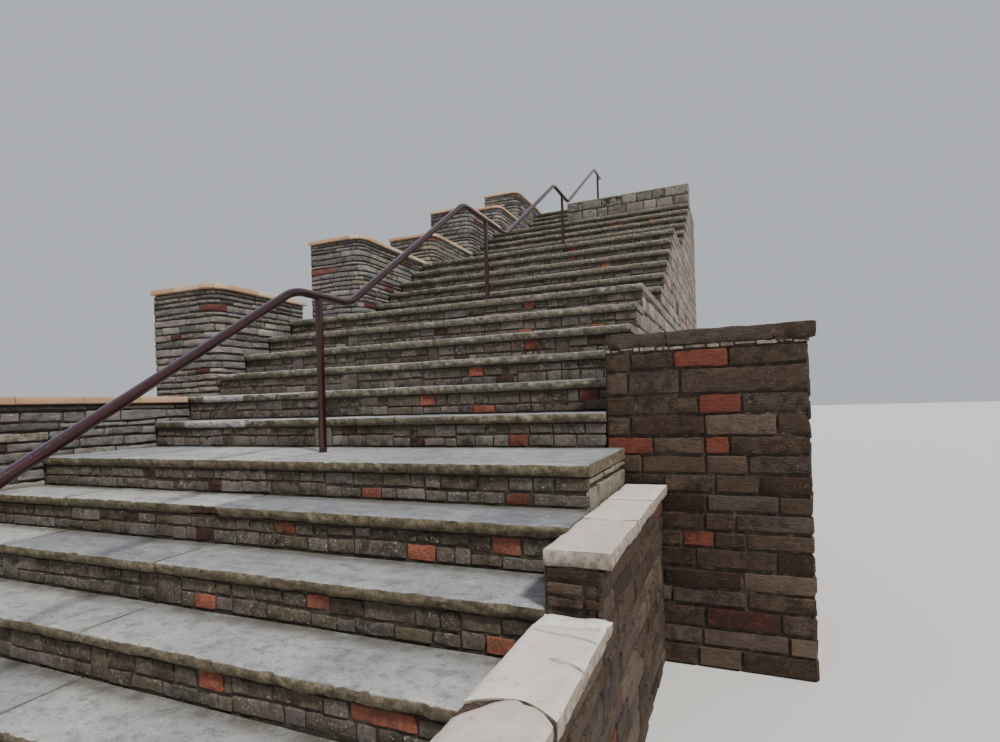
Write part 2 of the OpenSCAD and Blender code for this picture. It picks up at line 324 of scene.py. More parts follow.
def block_group(b, rng, rects, place, tones, nu, nv, edge, rough, back_off, jitter, flip, depth, mat,
                strata, dirt, warp):
    """Stones that all have nu by nv facets. Strata stretches their relief along the course."""
    n = len(rects)
    u0, u1, v0, v1 = (rects[:, k, None, None] for k in range(4))

    def ticks(count, size):
        """Shares of a stone's size, with one narrow facet at each end."""
        narrow = np.minimum(edge, 0.3 * size) / size
        inner = np.linspace(0, 1, count - 1)[None, None, :] * (1 - 2 * narrow) + narrow
        return np.concatenate([np.zeros_like(narrow), inner, np.ones_like(narrow)], 2)
    s = ticks(nu, u1 - u0).reshape(n, 1, nu + 1)
    t = ticks(nv, v1 - v0).reshape(n, nv + 1, 1)
    u = u0 + s * (u1 - u0) + np.zeros((n, nv + 1, 1))
    v = v0 + t * (v1 - v0) + np.zeros((n, 1, nu + 1))
    if warp:
        v = v + warp(u, v)
    own = rng.uniform(0, 900, (n, 1, 1)) + np.zeros_like(u)
    relief = noise(np.stack([u / (26 * strata), v / 17, own], -1), 5)
    relief = relief + 0.6 * noise(np.stack([u / 11, v / 8, own], -1), 6)
    w = rough * 1.15 * relief + rng.normal(0, rough * 0.35, u.shape) - back_off
    w = w + rng.normal(0, rough * 0.9, (n, 1, 1))
    # each face leans a little and is fuller in the middle
    lean_u, lean_v = rng.normal(0, rough * 0.9, (n, 1, 1)), rng.normal(0, rough * 0.9, (n, 1, 1))
    w += lean_u * (s - 0.5) + lean_v * (t - 0.5)
    w += rough * (0.5 - 2.2 * (s - 0.5) ** 4 - 2.2 * (t - 0.5) ** 2)
    w = np.minimum(w, -0.3 - 0.4 * rng.random(w.shape))
    sign_u = np.zeros((nv + 1, nu + 1))
    sign_u[:, 0], sign_u[:, -1] = 1, -1
    sign_v = np.zeros((nv + 1, nu + 1))
    sign_v[0], sign_v[-1] = 1, -1
    rim = (sign_u != 0) | (sign_v != 0)
    corner = (sign_u != 0) & (sign_v != 0)
    drop = np.abs(rng.normal(0, 1.5, u.shape)) + edge * 0.55
    w = np.where(rim, w - drop, w)
    w = np.maximum(w, 0.6 - depth)
    inward_u = np.abs(rng.normal(0, jitter, u.shape)) + corner * jitter
    inward_v = np.abs(rng.normal(0, jitter, v.shape)) + corner * jitter * 0.7
    u = u + sign_u * np.minimum(inward_u, 0.22 * (u1 - u0))
    v = v + sign_v * np.minimum(inward_v, 0.22 * (v1 - v0))
    oj, oi = rim_order(nu, nv)
    bu, bv = u[:, oj, oi], v[:, oj, oi]
    grid = place(u, v, w).reshape(n, -1, 3)
    ring = place(bu, bv, np.full(bu.shape, -depth))
    base, per = grid.shape[1], grid.shape[1] + ring.shape[1]
    quads = np.concatenate([grid_quads(nu, nv), skirt(oj * (nu + 1) + oi, base + np.arange(len(oj)))])
    if flip:
        quads = quads[:, ::-1]
    faces = (quads[None] + (np.arange(n) * per)[:, None, None]).reshape(-1, 4)
    tone = np.concatenate([np.repeat(tones, per, axis=0), np.zeros((n * per, 1))], 1)
    # painted shade: this function gives each point's share of painted shade, kept in the tone's alpha
    if dirt:
        tone[:, 3] = np.concatenate([dirt(u, v).reshape(n, -1), dirt(bu, bv)], 1).reshape(-1)
    b.add(np.concatenate([grid, ring], 1), faces, tone, mat)


def course_lines(rng, lo, hi, smallest, largest):
    out = [lo]
    while hi - out[-1] > largest * 1.35:
        out.append(out[-1] + rng.uniform(smallest, largest))
    left = hi - out[-1]
    if left > largest:
        out.append(out[-1] + left / 2)
    return out + [hi]


def course_runs(columns, a, c, least):
    """Unbroken runs of one course over columns (u0, u1, low, high) of a stepped wall."""
    runs = []
    for u0, u1, low, high in columns:
        va, vb = max(a, low), min(c, high)
        if vb - va < least:
            continue
        if runs and abs(runs[-1][1] - u0) < 1 and runs[-1][2] == va and runs[-1][3] == vb:
            runs[-1][1] = u1
        else:
            runs.append([u0, u1, va, vb])
    return runs


def lay(rng, columns, lines, shortest, longest, gap_u, gap_v, least, loose=0.0):
    """Outlines of stones in level courses. The numbers are those of the ways of laying above."""
    rects = []
    for a, c in pairs(lines):
        for u0, u1, va, vb in course_runs(columns, a, c, least):
            at = u0
            while at < u1 - 1:
                step = shortest + (longest - shortest) * rng.random() ** 1.3
                if u1 - (at + step) < shortest * 0.8:
                    step = u1 - at
                if step > longest * 1.4:
                    step = (u1 - at) / 2
                slack = loose * rng.random(2) ** 2
                rects.append((at + gap_u / 2, at + step - gap_u / 2,
                              va + gap_v / 2 + slack[0], vb - gap_v / 2 - slack[1]))
                at += step
    return np.array(rects).reshape(-1, 4)


def tones_for(rng, count, red=0.0):
    t = rng.random((count, 3))
    t[:, 1] = (rng.random(count) < red).astype(float)
    return t


def face(b, rng, surface, columns, lines, laying, stone, red=0.0, **more):
    """Fills columns of a wall's face with stones. Red is the share of bricks."""
    place, flip = surface
    rects = lay(rng, columns, lines, *laying)
    blocks(b, rng, rects, place, tones_for(rng, len(rects), red), *stone, flip=flip, **more)


# materials
class Shader:
    """A new material, with short ways to add nodes to it."""

    def __init__(self, name):
        self.material = bpy.data.materials.new(name)
        self.material.use_nodes = True
        self.tree = self.material.node_tree
        self.bsdf = self.tree.nodes["Principled BSDF"]
        self.coords = self.add("ShaderNodeTexCoord").outputs["Object"]

    def add(self, kind, **values):
        node = self.tree.nodes.new(kind)
        for key, value in values.items():
            if key in node.inputs:
                node.inputs[key].default_value = value
            else:
                setattr(node, key, value)
        return node

    def feed(self, sockets, values):
        """Links each value to its socket, or sets it there if it is a number or a colour."""
        for key, value in values.items():
            if isinstance(value, (int, float)):
                sockets[key].default_value = value
            elif isinstance(value, tuple):
                sockets[key].default_value = (*value, 1)
            else:
                self.tree.links.new(value, sockets[key])

    def split(self, kind, value):
        node = self.add(kind)
        self.feed(node.inputs, {0: value})
        return list(node.outputs)

    def tones(self):
        """The four channels of the tone attribute."""
        tone = self.add("ShaderNodeAttribute", attribute_name="tone")
        return self.split("ShaderNodeSeparateColor", tone.outputs["Color"]) + [tone.outputs["Alpha"]]

    def noise(self, scale, detail=5.0, rough=0.6, stretch=None):
        tex = self.add("ShaderNodeTexNoise", Scale=scale, Detail=detail, Roughness=rough)
        source = self.coords
        if stretch:
            mapping = self.add("ShaderNodeMapping", Scale=stretch)
            self.feed(mapping.inputs, {"Vector": source})
            source = mapping.outputs["Vector"]
        self.feed(tex.inputs, {"Vector": source})
        return tex.outputs["Fac"]

    def math(self, kind, a, b, clamp=False):
        node = self.add("ShaderNodeMath", operation=kind, use_clamp=clamp)
        self.feed(node.inputs, {0: a, 1: b})
        return node.outputs[0]

    def times(self, a, b):
        return self.math("MULTIPLY", a, b)

    def blend(self, *parts):
        """Sum of values, each times its share."""
        total = self.times(*parts[0])
        for part in parts[1:]:
            total = self.math("ADD", total, self.times(*part))
        return total

    def ramp(self, fac, *stops):
        node = self.add("ShaderNodeValToRGB")
        elements = node.color_ramp.elements
        while len(elements) < len(stops):
            elements.new(0.5)
        for element, (at, colour) in zip(elements, stops):
            element.position = at
            element.color = (*colour, 1)
        self.feed(node.inputs, {"Fac": fac})
        return node.outputs["Color"]

    def mix(self, fac, a, b, kind="MIX"):
        node = self.add("ShaderNodeMix", data_type="RGBA", blend_type=kind)
        self.feed(node.inputs, {0: fac, 6: a, 7: b})
        return node.outputs[2]

    def multiply(self, a, b):
        return self.mix(1.0, a, b, "MULTIPLY")

    def fade(self, value, lo, hi, to_lo=0.0, to_hi=1.0):
        node = self.add("ShaderNodeMapRange", interpolation_type="SMOOTHSTEP")
        self.feed(node.inputs, {"Value": value, "From Min": lo, "From Max": hi, "To Min": to_lo,
                                "To Max": to_hi})
        return node.outputs["Result"]

    def upward(self, lo, hi):
        """1 on faces that look up."""
        normal = self.add("ShaderNodeNewGeometry").outputs["Normal"]
        return self.fade(self.split("ShaderNodeSeparateXYZ", normal)[2], lo, hi)

    def grey(self, value):
        node = self.add("ShaderNodeCombineColor")
        self.feed(node.inputs, {0: value, 1: value, 2: value})
        return node.outputs[0]

    def bump(self, height, strength, distance):
        node = self.add("ShaderNodeBump", Strength=strength, Distance=distance)
        self.feed(node.inputs, {"Height": height})
        return node.outputs["Normal"]

    def finish_stone(self, colour, bump, distance, rough=(0.78, 0.95), grain=220.0, lumps=38.0, stretch=None):
        fine = self.noise(grain, 4.0, 0.65)
        coarse = self.noise(lumps, 6.0, 0.62, stretch)
        height = self.math("ADD", self.times(fine, 0.35), coarse)
        self.feed(self.bsdf.inputs, {
            "Normal": self.bump(height, bump, distance), "Roughness": self.fade(coarse, 0.3, 0.7, *rough),
            "Base Color": colour, "Specular IOR Level": 0.3})
        return self.material


MOSS, DRY_MOSS = (0.052, 0.062, 0.030), (0.066, 0.076, 0.041)
GRIME = (0.05, 0.045, 0.033)


def evenly(palette):
    """Stops of a ramp at even distances."""
    return [((k + 0.5) / len(palette), colour) for k, colour in enumerate(palette)]


def stone_material(name, palette, bricks, grime=GRIME, grime_amount=0.6, lichen=None, speck=0.5, bump=0.6,
                   moss=0.0, stretch=None, grain=95.0, relief=0.005):
    """Stones coloured by the tone attribute: r picks the stone, g says brick, b grime, alpha painted shade.
    """
    s = Shader(name)
    which, brick_here, dirty, shade = s.tones()
    big = s.noise(12.0, 6.0, 0.6, stretch)
    fine = s.noise(grain, 8.0, 0.75, stretch)
    pick = s.math("ADD", which, s.times(s.math("SUBTRACT", big, 0.5), 0.45), True)
    colour = s.mix(brick_here, s.ramp(pick, *evenly(palette)), s.ramp(pick, *evenly(bricks)))
    colour = s.multiply(colour, s.ramp(fine, (0.3, (0.45, 0.44, 0.42)), (0.47, (0.95, 0.95, 0.94)),
                                       (0.56, (1.08, 1.07, 1.05)), (0.72, (1.6, 1.56, 1.48))))
    amount = s.math("ADD", s.noise(21.0, 9.0, 0.75), s.times(s.math("SUBTRACT", dirty, 0.5), 0.2))
    colour = s.mix(s.fade(amount, 0.47, 0.7, 0.0, grime_amount), colour, grime)
    if moss:
        damp = s.fade(s.noise(4.0, 4.0, 0.6), 0.45, 0.62, 0.0, moss)
        patchy = s.fade(s.noise(33.0, 6.0, 0.7), 0.42, 0.6)
        colour = s.mix(s.times(damp, patchy), colour, MOSS)
    if lichen:
        zones = s.fade(s.noise(9.0, 5.0, 0.7), 0.44, 0.6, 0.1, speck)
        zones = s.times(zones, s.fade(brick_here, 1.0, 0.0, 0.3, 1.0))
        spots = s.fade(s.noise(85.0, 8.0, 0.7), 0.54, 0.66)
        colour = s.mix(s.times(spots, zones), colour, lichen)
    # painted shade: darker where the tone's alpha is high
    colour = s.multiply(colour, s.grey(s.math("SUBTRACT", 1.0, s.times(shade, 0.6))))
    return s.finish_stone(colour, bump, relief, stretch=stretch)


def mortar_material(name, *colours):
    s = Shader(name)
    big = s.noise(26.0, 8.0, 0.7)
    return s.finish_stone(s.ramp(big, *zip((0.3, 0.55, 0.75), colours)), 0.9, 0.006)


def tread_material():
    """Worn slabs: pale on top, brown and mossy on the broken front edge."""
    streak_grey, dark_spot, pale_spot, back_and_end_brown = ((0.13, 0.133, 0.142), (0.085, 0.083, 0.08),
                                                     (0.66, 0.64, 0.60), (0.095, 0.09, 0.072))
    s = Shader("worn_stone")
    which, patch, broken, shade = s.tones()
    x, _, z = s.split("ShaderNodeSeparateXYZ", s.coords)
    big = s.noise(2.2, 6.0, 0.6)
    cloud = s.noise(9.0, 7.0, 0.65)
    streak = s.noise(12.0, 9.0, 0.75, (1.0, 1.5, 1.0))
    fine = s.noise(140.0, 7.0, 0.75)
    spots = s.noise(34.0, 8.0, 0.75)
    # the tops' grey tones are the stone's own; their cool blue tint is painted skylight shade
    top_face = s.ramp(s.blend((which, 0.2), (big, 0.42), (cloud, 0.4)), (0.28, (0.145, 0.152, 0.172)),
                      (0.42, (0.25, 0.256, 0.272)), (0.54, (0.36, 0.36, 0.363)), (0.68, (0.50, 0.488, 0.465)))
    top_face = s.mix(s.fade(streak, 0.47, 0.64, 0.0, 0.6), top_face, streak_grey)
    top_face = s.mix(s.fade(spots, 0.55, 0.68, 0.0, 0.6), top_face, dark_spot)
    top_face = s.mix(s.fade(spots, 0.44, 0.32, 0.0, 0.45), top_face, pale_spot)
    top_face = s.mix(s.times(shade, s.fade(cloud, 0.3, 0.62, 0.35, 1.0)), top_face, back_and_end_brown)
    edge = s.ramp(spots, (0.32, (0.045, 0.034, 0.022)), (0.45, (0.105, 0.082, 0.053)),
                  (0.55, (0.16, 0.128, 0.084)), (0.70, (0.28, 0.235, 0.165)))
    # painted sunlight: a paler ramp for the front edges of the upper flights
    painted_sunlit_edge = s.ramp(spots, (0.34, (0.095, 0.082, 0.060)), (0.5, (0.225, 0.20, 0.155)),
                      (0.66, (0.40, 0.37, 0.31)))
    # edges are painted lighter from about a metre up, as painted sunlight, and mossy towards the left
    edge = s.mix(s.fade(z, 1.0, 1.35, 0.0, 0.7), edge, painted_sunlit_edge)
    mossy = s.times(s.fade(s.noise(7.0, 7.0, 0.7), 0.44, 0.6), s.fade(x, 0.4, -1.5, 0.1, 0.8))
    colour = s.mix(s.upward(0.45, 0.85), s.mix(mossy, edge, DRY_MOSS), top_face)
    colour = s.mix(patch, colour, s.ramp(spots, (0.33, (0.16, 0.155, 0.145)), (0.46, (0.36, 0.35, 0.335)),
                                         (0.6, (0.52, 0.51, 0.49))))
    colour = s.mix(broken, colour, s.ramp(cloud, (0.3, (0.07, 0.043, 0.03)), (0.7, (0.20, 0.13, 0.095))))
    colour = s.multiply(colour, s.ramp(fine, (0.3, (0.6, 0.6, 0.6)), (0.48, (0.97, 0.97, 0.97)),
                                       (0.56, (1.06, 1.06, 1.06)), (0.7, (1.35, 1.35, 1.33))))
    return s.finish_stone(colour, 0.45, 0.004, grain=260.0, lumps=45.0)


def coping_material():
    """Peach tiles with darker spots and stains."""
    s = Shader("terracotta")
    which = s.tones()[0]
    colour = s.ramp(s.blend((which, 0.6), (s.noise(6.0, 6.0, 0.65), 0.4)), (0.2, (0.42, 0.25, 0.155)),
                    (0.45, (0.52, 0.34, 0.22)), (0.65, (0.57, 0.41, 0.285)), (0.85, (0.60, 0.48, 0.37)))
    colour = s.mix(s.fade(s.noise(55.0, 6.0, 0.7), 0.58, 0.72, 0.0, 0.5), colour, (0.33, 0.215, 0.145))
    colour = s.mix(s.fade(s.noise(9.0, 6.0, 0.7), 0.55, 0.72, 0.0, 0.55), colour, (0.26, 0.215, 0.17))
    return s.finish_stone(colour, 0.2, 0.002, (0.6, 0.8))


def pale_slab_material():
    """Pale kerb slabs, darker on their edges and in their cracks."""
    crack, spot_brown = (0.06, 0.05, 0.04), (0.33, 0.26, 0.21)
    s = Shader("pale_slab")
    which, _, cracked, shade = s.tones()
    spots = s.noise(42.0, 8.0, 0.75)
    top_face = s.ramp(s.blend((which, 0.5), (s.noise(6.0, 7.0, 0.65), 0.5)), (0.25, (0.50, 0.39, 0.345)),
                      (0.42, (0.62, 0.535, 0.48)), (0.56, (0.72, 0.67, 0.61)), (0.72, (0.82, 0.79, 0.74)))
    top_face = s.mix(s.fade(spots, 0.54, 0.68, 0.0, 0.6), top_face, spot_brown)
    edge = s.ramp(spots, (0.3, (0.11, 0.085, 0.065)), (0.5, (0.30, 0.25, 0.205)), (0.7, (0.52, 0.47, 0.41)))
    colour = s.mix(cracked, s.mix(s.upward(0.4, 0.85), edge, top_face), crack)
    colour = s.mix(shade, colour, s.ramp(spots, (0.35, (0.12, 0.095, 0.075)), (0.65, (0.5, 0.46, 0.40))))
    return s.finish_stone(colour, 0.5, 0.005)


def paint_material():
    """Dark maroon gloss paint, worn in places, with a painted bluish sky reflection on its top."""
    worn, painted_sky_sheen = (0.09, 0.032, 0.024), (0.062, 0.052, 0.115)
    s = Shader("rail_paint")
    wear = s.noise(60.0, 8.0, 0.7)
    colour = s.ramp(s.noise(8.0, 5.0), (0.3, (0.018, 0.0025, 0.003)), (0.6, (0.031, 0.0045, 0.005)),
                    (0.8, (0.047, 0.0075, 0.007)))
    colour = s.mix(s.fade(wear, 0.62, 0.7, 0.0, 0.5), colour, worn)
    # painted reflection: faces that look up get a bluish sky sheen mixed into their colour
    colour = s.mix(s.times(s.upward(0.5, 1.0), 0.5), colour, painted_sky_sheen)
    s.feed(s.bsdf.inputs, {
        "Normal": s.bump(s.noise(90.0, 3.0), 0.1, 0.001), "Base Color": colour,
        "Roughness": s.fade(wear, 0.3, 0.7, 0.14, 0.3), "Specular IOR Level": 0.4, "Coat Weight": 0.5,
        "Coat Roughness": 0.1})
    return s.material


FLAT_GRAIN, FLATTER_GRAIN = (1.0, 1.0, 3.0), (1.0, 1.0, 4.5)
RED = [(0.060, 0.022, 0.018), (0.15, 0.045, 0.033), (0.25, 0.076, 0.048), (0.31, 0.098, 0.060),
       (0.22, 0.078, 0.056)]
RISER_COLOURS = [(0.065, 0.048, 0.034), (0.125, 0.095, 0.069), (0.095, 0.075, 0.055),
                 (0.155, 0.127, 0.105), (0.14, 0.112, 0.107), (0.205, 0.175, 0.152)]
LEDGE_COLOURS = [(0.10, 0.095, 0.095), (0.20, 0.19, 0.178), (0.155, 0.148, 0.148), (0.28, 0.262, 0.232),
                 (0.195, 0.155, 0.155), (0.34, 0.322, 0.29), (0.25, 0.20, 0.145), (0.155, 0.138, 0.15),
                 (0.22, 0.208, 0.20)]
LEDGE_RED = [(0.075, 0.024, 0.024), (0.13, 0.038, 0.032), (0.165, 0.068, 0.054)]
BED_COLOURS = [(0.04, 0.022, 0.0135), (0.075, 0.045, 0.029), (0.057, 0.037, 0.026), (0.10, 0.065, 0.045),
               (0.07, 0.049, 0.043), (0.125, 0.086, 0.062)]
BED_RED = [(0.075, 0.020, 0.014), (0.14, 0.038, 0.025), (0.175, 0.051, 0.032), (0.115, 0.038, 0.028)]
CORE_COLOURS = [(0.17, 0.145, 0.115), (0.25, 0.22, 0.18), (0.21, 0.19, 0.16), (0.30, 0.27, 0.225),
                (0.23, 0.19, 0.17)]
BLOCK_COLOURS = [(0.17, 0.148, 0.12), (0.25, 0.225, 0.187), (0.20, 0.18, 0.155)]
riser_mat = stone_material("riser_blocks", RISER_COLOURS, RED, (0.022, 0.018, 0.012), 0.75,
                           (0.46, 0.45, 0.39), 0.75, bump=0.9, moss=0.5, relief=0.009)
ledge_mat = stone_material("ledgestone", LEDGE_COLOURS, LEDGE_RED, (0.045, 0.042, 0.034), 0.75,
                           (0.46, 0.46, 0.42), 0.35, bump=0.8, moss=0.25, stretch=FLAT_GRAIN, relief=0.008)
bed_mat = stone_material("brown_blocks", BED_COLOURS, BED_RED, (0.016, 0.012, 0.008), 0.8,
                         (0.30, 0.26, 0.21), 0.3, bump=0.9, stretch=FLATTER_GRAIN, grain=34.0, relief=0.011)
core_mat = stone_material("core_rubble", CORE_COLOURS, RED)
block_mat = stone_material("pale_blocks", BLOCK_COLOURS, RED, (0.05, 0.045, 0.038), 0.8,
                           (0.40, 0.38, 0.33), 0.4, bump=0.8, relief=0.008)
mortar_mat = mortar_material("dark_mortar", (0.022, 0.019, 0.015), (0.05, 0.043, 0.034), (0.10, 0.088, 0.07))
riser_mortar = mortar_material("brown_mortar", (0.024, 0.019, 0.013), (0.055, 0.044, 0.032),
                               (0.15, 0.125, 0.095))
bed_mortar = mortar_material("light_mortar", (0.025, 0.018, 0.013), (0.06, 0.046, 0.034), (0.24, 0.20, 0.155))
crumb_mortar = mortar_material("crumbly_mortar", (0.05, 0.038, 0.028), (0.21, 0.17, 0.13), (0.46, 0.41, 0.34))
tread_mat = tread_material()
coping_mat = coping_material()
pale_mat = pale_slab_material()
paint_mat = paint_material()

# tread slabs: the front of a slab in section, as distance from its front line and height
PROFILE_T = 50.0
PROFILE_FRONT = [(90, 0), (60, 0), (36, 0), (20, -0.4), (11, -1.2), (5, -3.0), (1.6, -6.5), (0.3, -12),
                 (0, -19), (0.8, -27), (2.6, -35), (7, -42), (14, -47.5), (26, -PROFILE_T)]
TREAD_TOP = (1, 0.72, 0.5)
LANDING_TOP = (1, 0.94, 0.86, 0.72, 0.6, 0.48, 0.38, 0.3, 0.22, 0.15)


def slab_profile(depth):
    """The section of a slab, from the back of its top round the front to the back of its underside."""
    tops = [(depth * k, 0) for k in (LANDING_TOP if depth > 500 else TREAD_TOP)]
    if depth <= 500:
        tops.insert(1, (depth - 34, 0))
    return np.array(tops + PROFILE_FRONT + [(depth, -PROFILE_T)], float)


def slab(b, x0, x1, y0, y1, z, pitch, seed, tone, recess, wear, chips, patch):
    """One slab with a worn top and a broken, overhanging front edge. chips: (x, width, depth), where
    a depth below 0 is broken away under the edge only. patch: from x, to x and depth of a repair."""
    n = max(6, int((x1 - x0) / pitch))
    x = np.linspace(x0, x1, n + 1)
    depth = y1 - y0
    profile = slab_profile(depth)
    m = len(profile)
    d = profile[:, 0][None] + np.zeros((n + 1, 1))
    h = profile[:, 1][None] * (SLAB / PROFILE_T) + np.zeros((n + 1, 1))
    xx = x[:, None] + np.zeros_like(d)
    near = np.clip(1 - d / 85.0, 0, 1)
    low = np.clip(-h / SLAB, 0, 1)
    # the front line, larger bites and small nicks in it, and what is gone low down
    line = 4.5 + 3.0 * noise1(x, 300, seed) + 2.2 * noise1(x, 75, seed + 1) + recess
    bite = (np.maximum(0, noise1(x, 62, seed + 2) - 0.22) * 24 * wear)[:, None]
    nick = (np.maximum(0, noise1(x, 24, seed + 8) - 0.1) * 9 * wear)[:, None]
    lower = (np.maximum(0, noise1(x, 52, seed + 3) + 0.05) * 17 * wear)[:, None]
    ledge = np.maximum(noise1(x, 120, seed + 9), 0)[:, None]
    rough = fbm(np.stack([xx, d, h * 1.7 + seed * 13.0], -1), 24, seed + 4)
    d = d + near * line[:, None]
    d = d + near * (bite * np.exp(-((low - 0.2) / 0.4) ** 2) + nick * np.exp(-((low - 0.1) / 0.16) ** 2)
                    + lower * low ** 2 + 4.0 * ledge * (low > 0.45))
    d = d + near * rough * 3.0 * np.clip(low * 8, 0.1, 1)
    close = np.clip(1 - (d - line[:, None]) / 38.0, 0, 1)
    h = h - (low < 0.3) * close ** 1.5 * (bite * 0.16 + nick * 0.4 + 1.0 * np.maximum(rough, 0))
    h = h + (low > 0.6) * (d < depth - 5) * near * 4.0 * np.maximum(noise1(x, 37, seed + 5) + 0.3, 0)[:, None]
    # the worn top
    top_side = low < 0.12
    sag = 1.7 + 1.5 * noise(np.stack([xx / 420, d / 300, xx * 0 + seed], -1), seed + 6)
    sag = sag + 0.9 * noise(np.stack([xx / 80, d / 70, xx * 0 + seed], -1), seed + 7)
    h = h - top_side * np.maximum(sag, 0.1)
    for at, width, cut in chips:
        shape = np.clip(1.7 - 1.3 * np.abs(x - at) / (width / 2), 0, 1)[:, None] * (0.85 + 0.25 * rough)
        if cut < 0:
            d = d - near * shape * cut * np.clip((low - 0.22) / 0.25, 0, 1)
            continue
        d = d + near * shape * cut
        h = h - np.clip(1 - (d - cut) / 40.0, 0, 1) * (low < 0.5) * shape * cut * 0.3
    # ends are a little rounded off
    ends = np.minimum(np.abs(x - x0), np.abs(x - x1))[:, None]
    d = d + near * np.clip(1 - ends / 14.0, 0, 1) * 5
    h = h - top_side * np.clip(1 - ends / 8.0, 0, 1) * 2.0
    d = np.clip(d, 0.3, depth)
    h = np.clip(h, -SLAB, -0.05)
    tones = np.zeros((n + 1, m, 4))
    tones[..., :3] = tone
    for at, width, cut in chips:
        if abs(cut) > 20:
            shape = np.clip(1.4 - np.abs(x - at) / (width / 2), 0, 1)[:, None]
            tones[..., 2] = np.maximum(tones[..., 2], shape * np.clip((low - 0.15) / 0.2, 0, 1))
    if patch:
        ragged = 30 * noise(np.stack([xx / 45, d / 30, xx * 0], -1), seed)
        inside = (xx > patch[0] + ragged) & (xx < patch[1] + ragged) & (d < patch[2] + ragged)
        tones[..., 1] = np.where(inside, 1.0, tones[..., 1])
    # slabs are darker brown in patches against the next riser and at their ends
    gap = np.maximum(depth - NOSING - d, 0)
    tones[..., 3] = top_side * np.clip(0.95 * np.exp(-gap / 26.0) + 0.55 * np.exp(-ends / 14.0), 0, 0.95)
    b.add(np.stack([xx, y0 + d, z + h], -1), ring_faces(n + 1, m, flip=True), tones.reshape(-1, 4))


# by flight: x of the first and second joint, and how far the second moves with each step
JOINTS = [(-900, 60, 12), (-740, 380, -60), (-800, 220, -6), (-500, 500, -35), (0, 0, 20)]
# by flight: distance of points along a slab, and width and rows of the facets of riser blocks
PITCH = [9.0, 11.0, 16.0, 20.0, 20.0]
RISER_FACETS = [(17, 4), (20, 3), (34, 2), (40, 2), (40, 2)]
# set-backs of single slabs, chipped places and light repair patches seen in the photo
RECESS = {(0, 5, 1): 10, (0, 3, 2): 4, (0, 4, 1): 13, (1, 0, 0): 5, (1, 2, 1): 4}
CHIPS = {(0, 1): [(1120, 120, 10)], (0, 2): [(1180, 150, 9)], (0, 4): [(30, 170, -34)],
         (1, 0): [(-640, 260, 14), (-120, 200, 9)], (1, 1): [(-700, 420, 16), (60, 160, 8)],
         (1, 2): [(-300, 180, 10)]}
PATCHES = {(1, 0): (-1255, -744, 150), (1, 1): (-1411, -1033, 150)}


def slab_cuts(f, j):
    """Ends of the slabs of one step. The narrow top flight has two slabs, the others three."""
    first, second, drift = JOINTS[f]
    if f == FLIGHTS - 1:
        return [LEFT, (LEFT + end_x(f)) / 2 + drift * j, end_x(f)]
    return [LEFT, first, second + drift * j, end_x(f)]


def tread_piece(name, nodes, steps):
    b = Bin()
    for f, j in steps:
        cuts = slab_cuts(f, j)
        for k in range(len(cuts) - 1):
            seed = 100 + f * 67 + j * 11 + k * 3
            rng = np.random.default_rng(seed)
            x0 = cuts[k] + (3 if k else 1)
            x1 = cuts[k + 1] - (3 if k < len(cuts) - 2 else 1)
            chips = [c for c in CHIPS.get((f, j), []) if x0 - 100 < c[0] < x1 + 100]
            tone = (rng.random(), 0, 0)
            recess = RECESS.get((f, j, k), rng.uniform(0, 4))
            wear = 1.5 if f == 1 else 1.0
            slab(b, x0, x1, front(f, j), back(f, j), top(f, j), PITCH[f], seed, tone, recess, wear, chips,
                 PATCHES.get((f, j)))
    return b.build(name, [tread_mat], nodes, 50)


for k in range(2 * LAST):
    tread_piece("tread_%02d_slabs" % (k + 1), ["tread_%02d" % (k + 1)], [divmod(k, LAST)])
for f in range(2, FLIGHTS):
    tread_piece("flight_%d_slabs" % (f + 1), ["flight_%d_treads" % (f + 1)], [(f, j) for j in range(LAST)])
for f in range(FLIGHTS):
    tread_piece("landing_%d_slabs" % (f + 1), ["landing_%d" % (f + 1)], [(f, LAST)])

# riser walls and cores: red bricks seen in the photo, by riser: from, to, course (0 lower, 1 upper),
# 1 if dull
REDS = {(0, 2): [(615, 725, 1, 0), (1180, 1390, 1, 0)],
        (0, 3): [(280, 390, 0, 0), (805, 905, 1, 0), (1460, 1555, 0, 0)],
        (0, 4): [(-500, -395, 1, 1), (-30, 75, 0, 1), (410, 525, 1, 0), (1035, 1155, 0, 0),
                 (1370, 1480, 1, 0)],
        (0, 5): [(-735, -640, 1, 1), (-265, -175, 0, 1), (645, 750, 0, 0), (1315, 1420, 0, 0)],
        (1, 0): [(5, 115, 1, 1), (470, 560, 0, 1), (1060, 1165, 0, 0)],
        (1, 1): [(380, 490, 1, 0), (735, 875, 0, 0), (1365, 1475, 1, 0)],
        (1, 2): [(585, 690, 1, 0), (775, 885, 0, 1)],
        (1, 3): [(350, 460, 0, 1), (870, 980, 1, 0), (1295, 1400, 1, 1)],
        (1, 4): [(55, 165, 1, 1), (730, 840, 0, 0), (1240, 1345, 0, 0)],
        (1, 5): [(670, 780, 1, 0)],
        (2, 0): [],
        (2, 1): [],
        (2, 2): [(560, 670, 1, 0), (555, 660, 0, 0)],
        (2, 3): [(865, 975, 1, 0)],
        (2, 4): [(435, 540, 1, 0)],
        (2, 5): [(370, 480, 1, 0)]}
BRICK_END, BRICK_SIDE = 108, 225
DULL_BRICK = (0.06, 1, 0.9)


def chance_bricks(rng, x0, x1):
    """A few bricks at least 320 mm apart for a riser whose bricks the photo doesn't show."""
    reds = []
    for _ in range(rng.integers(1, 4)):
        at = rng.uniform(x0 + 100, x1 - 240)
        if all(abs(at - r[0]) > 320 for r in reds):
            length = BRICK_END if rng.random() < 0.75 else BRICK_SIDE
            reds.append((at, at + length, int(rng.integers(0, 2)), 0))
    return reds


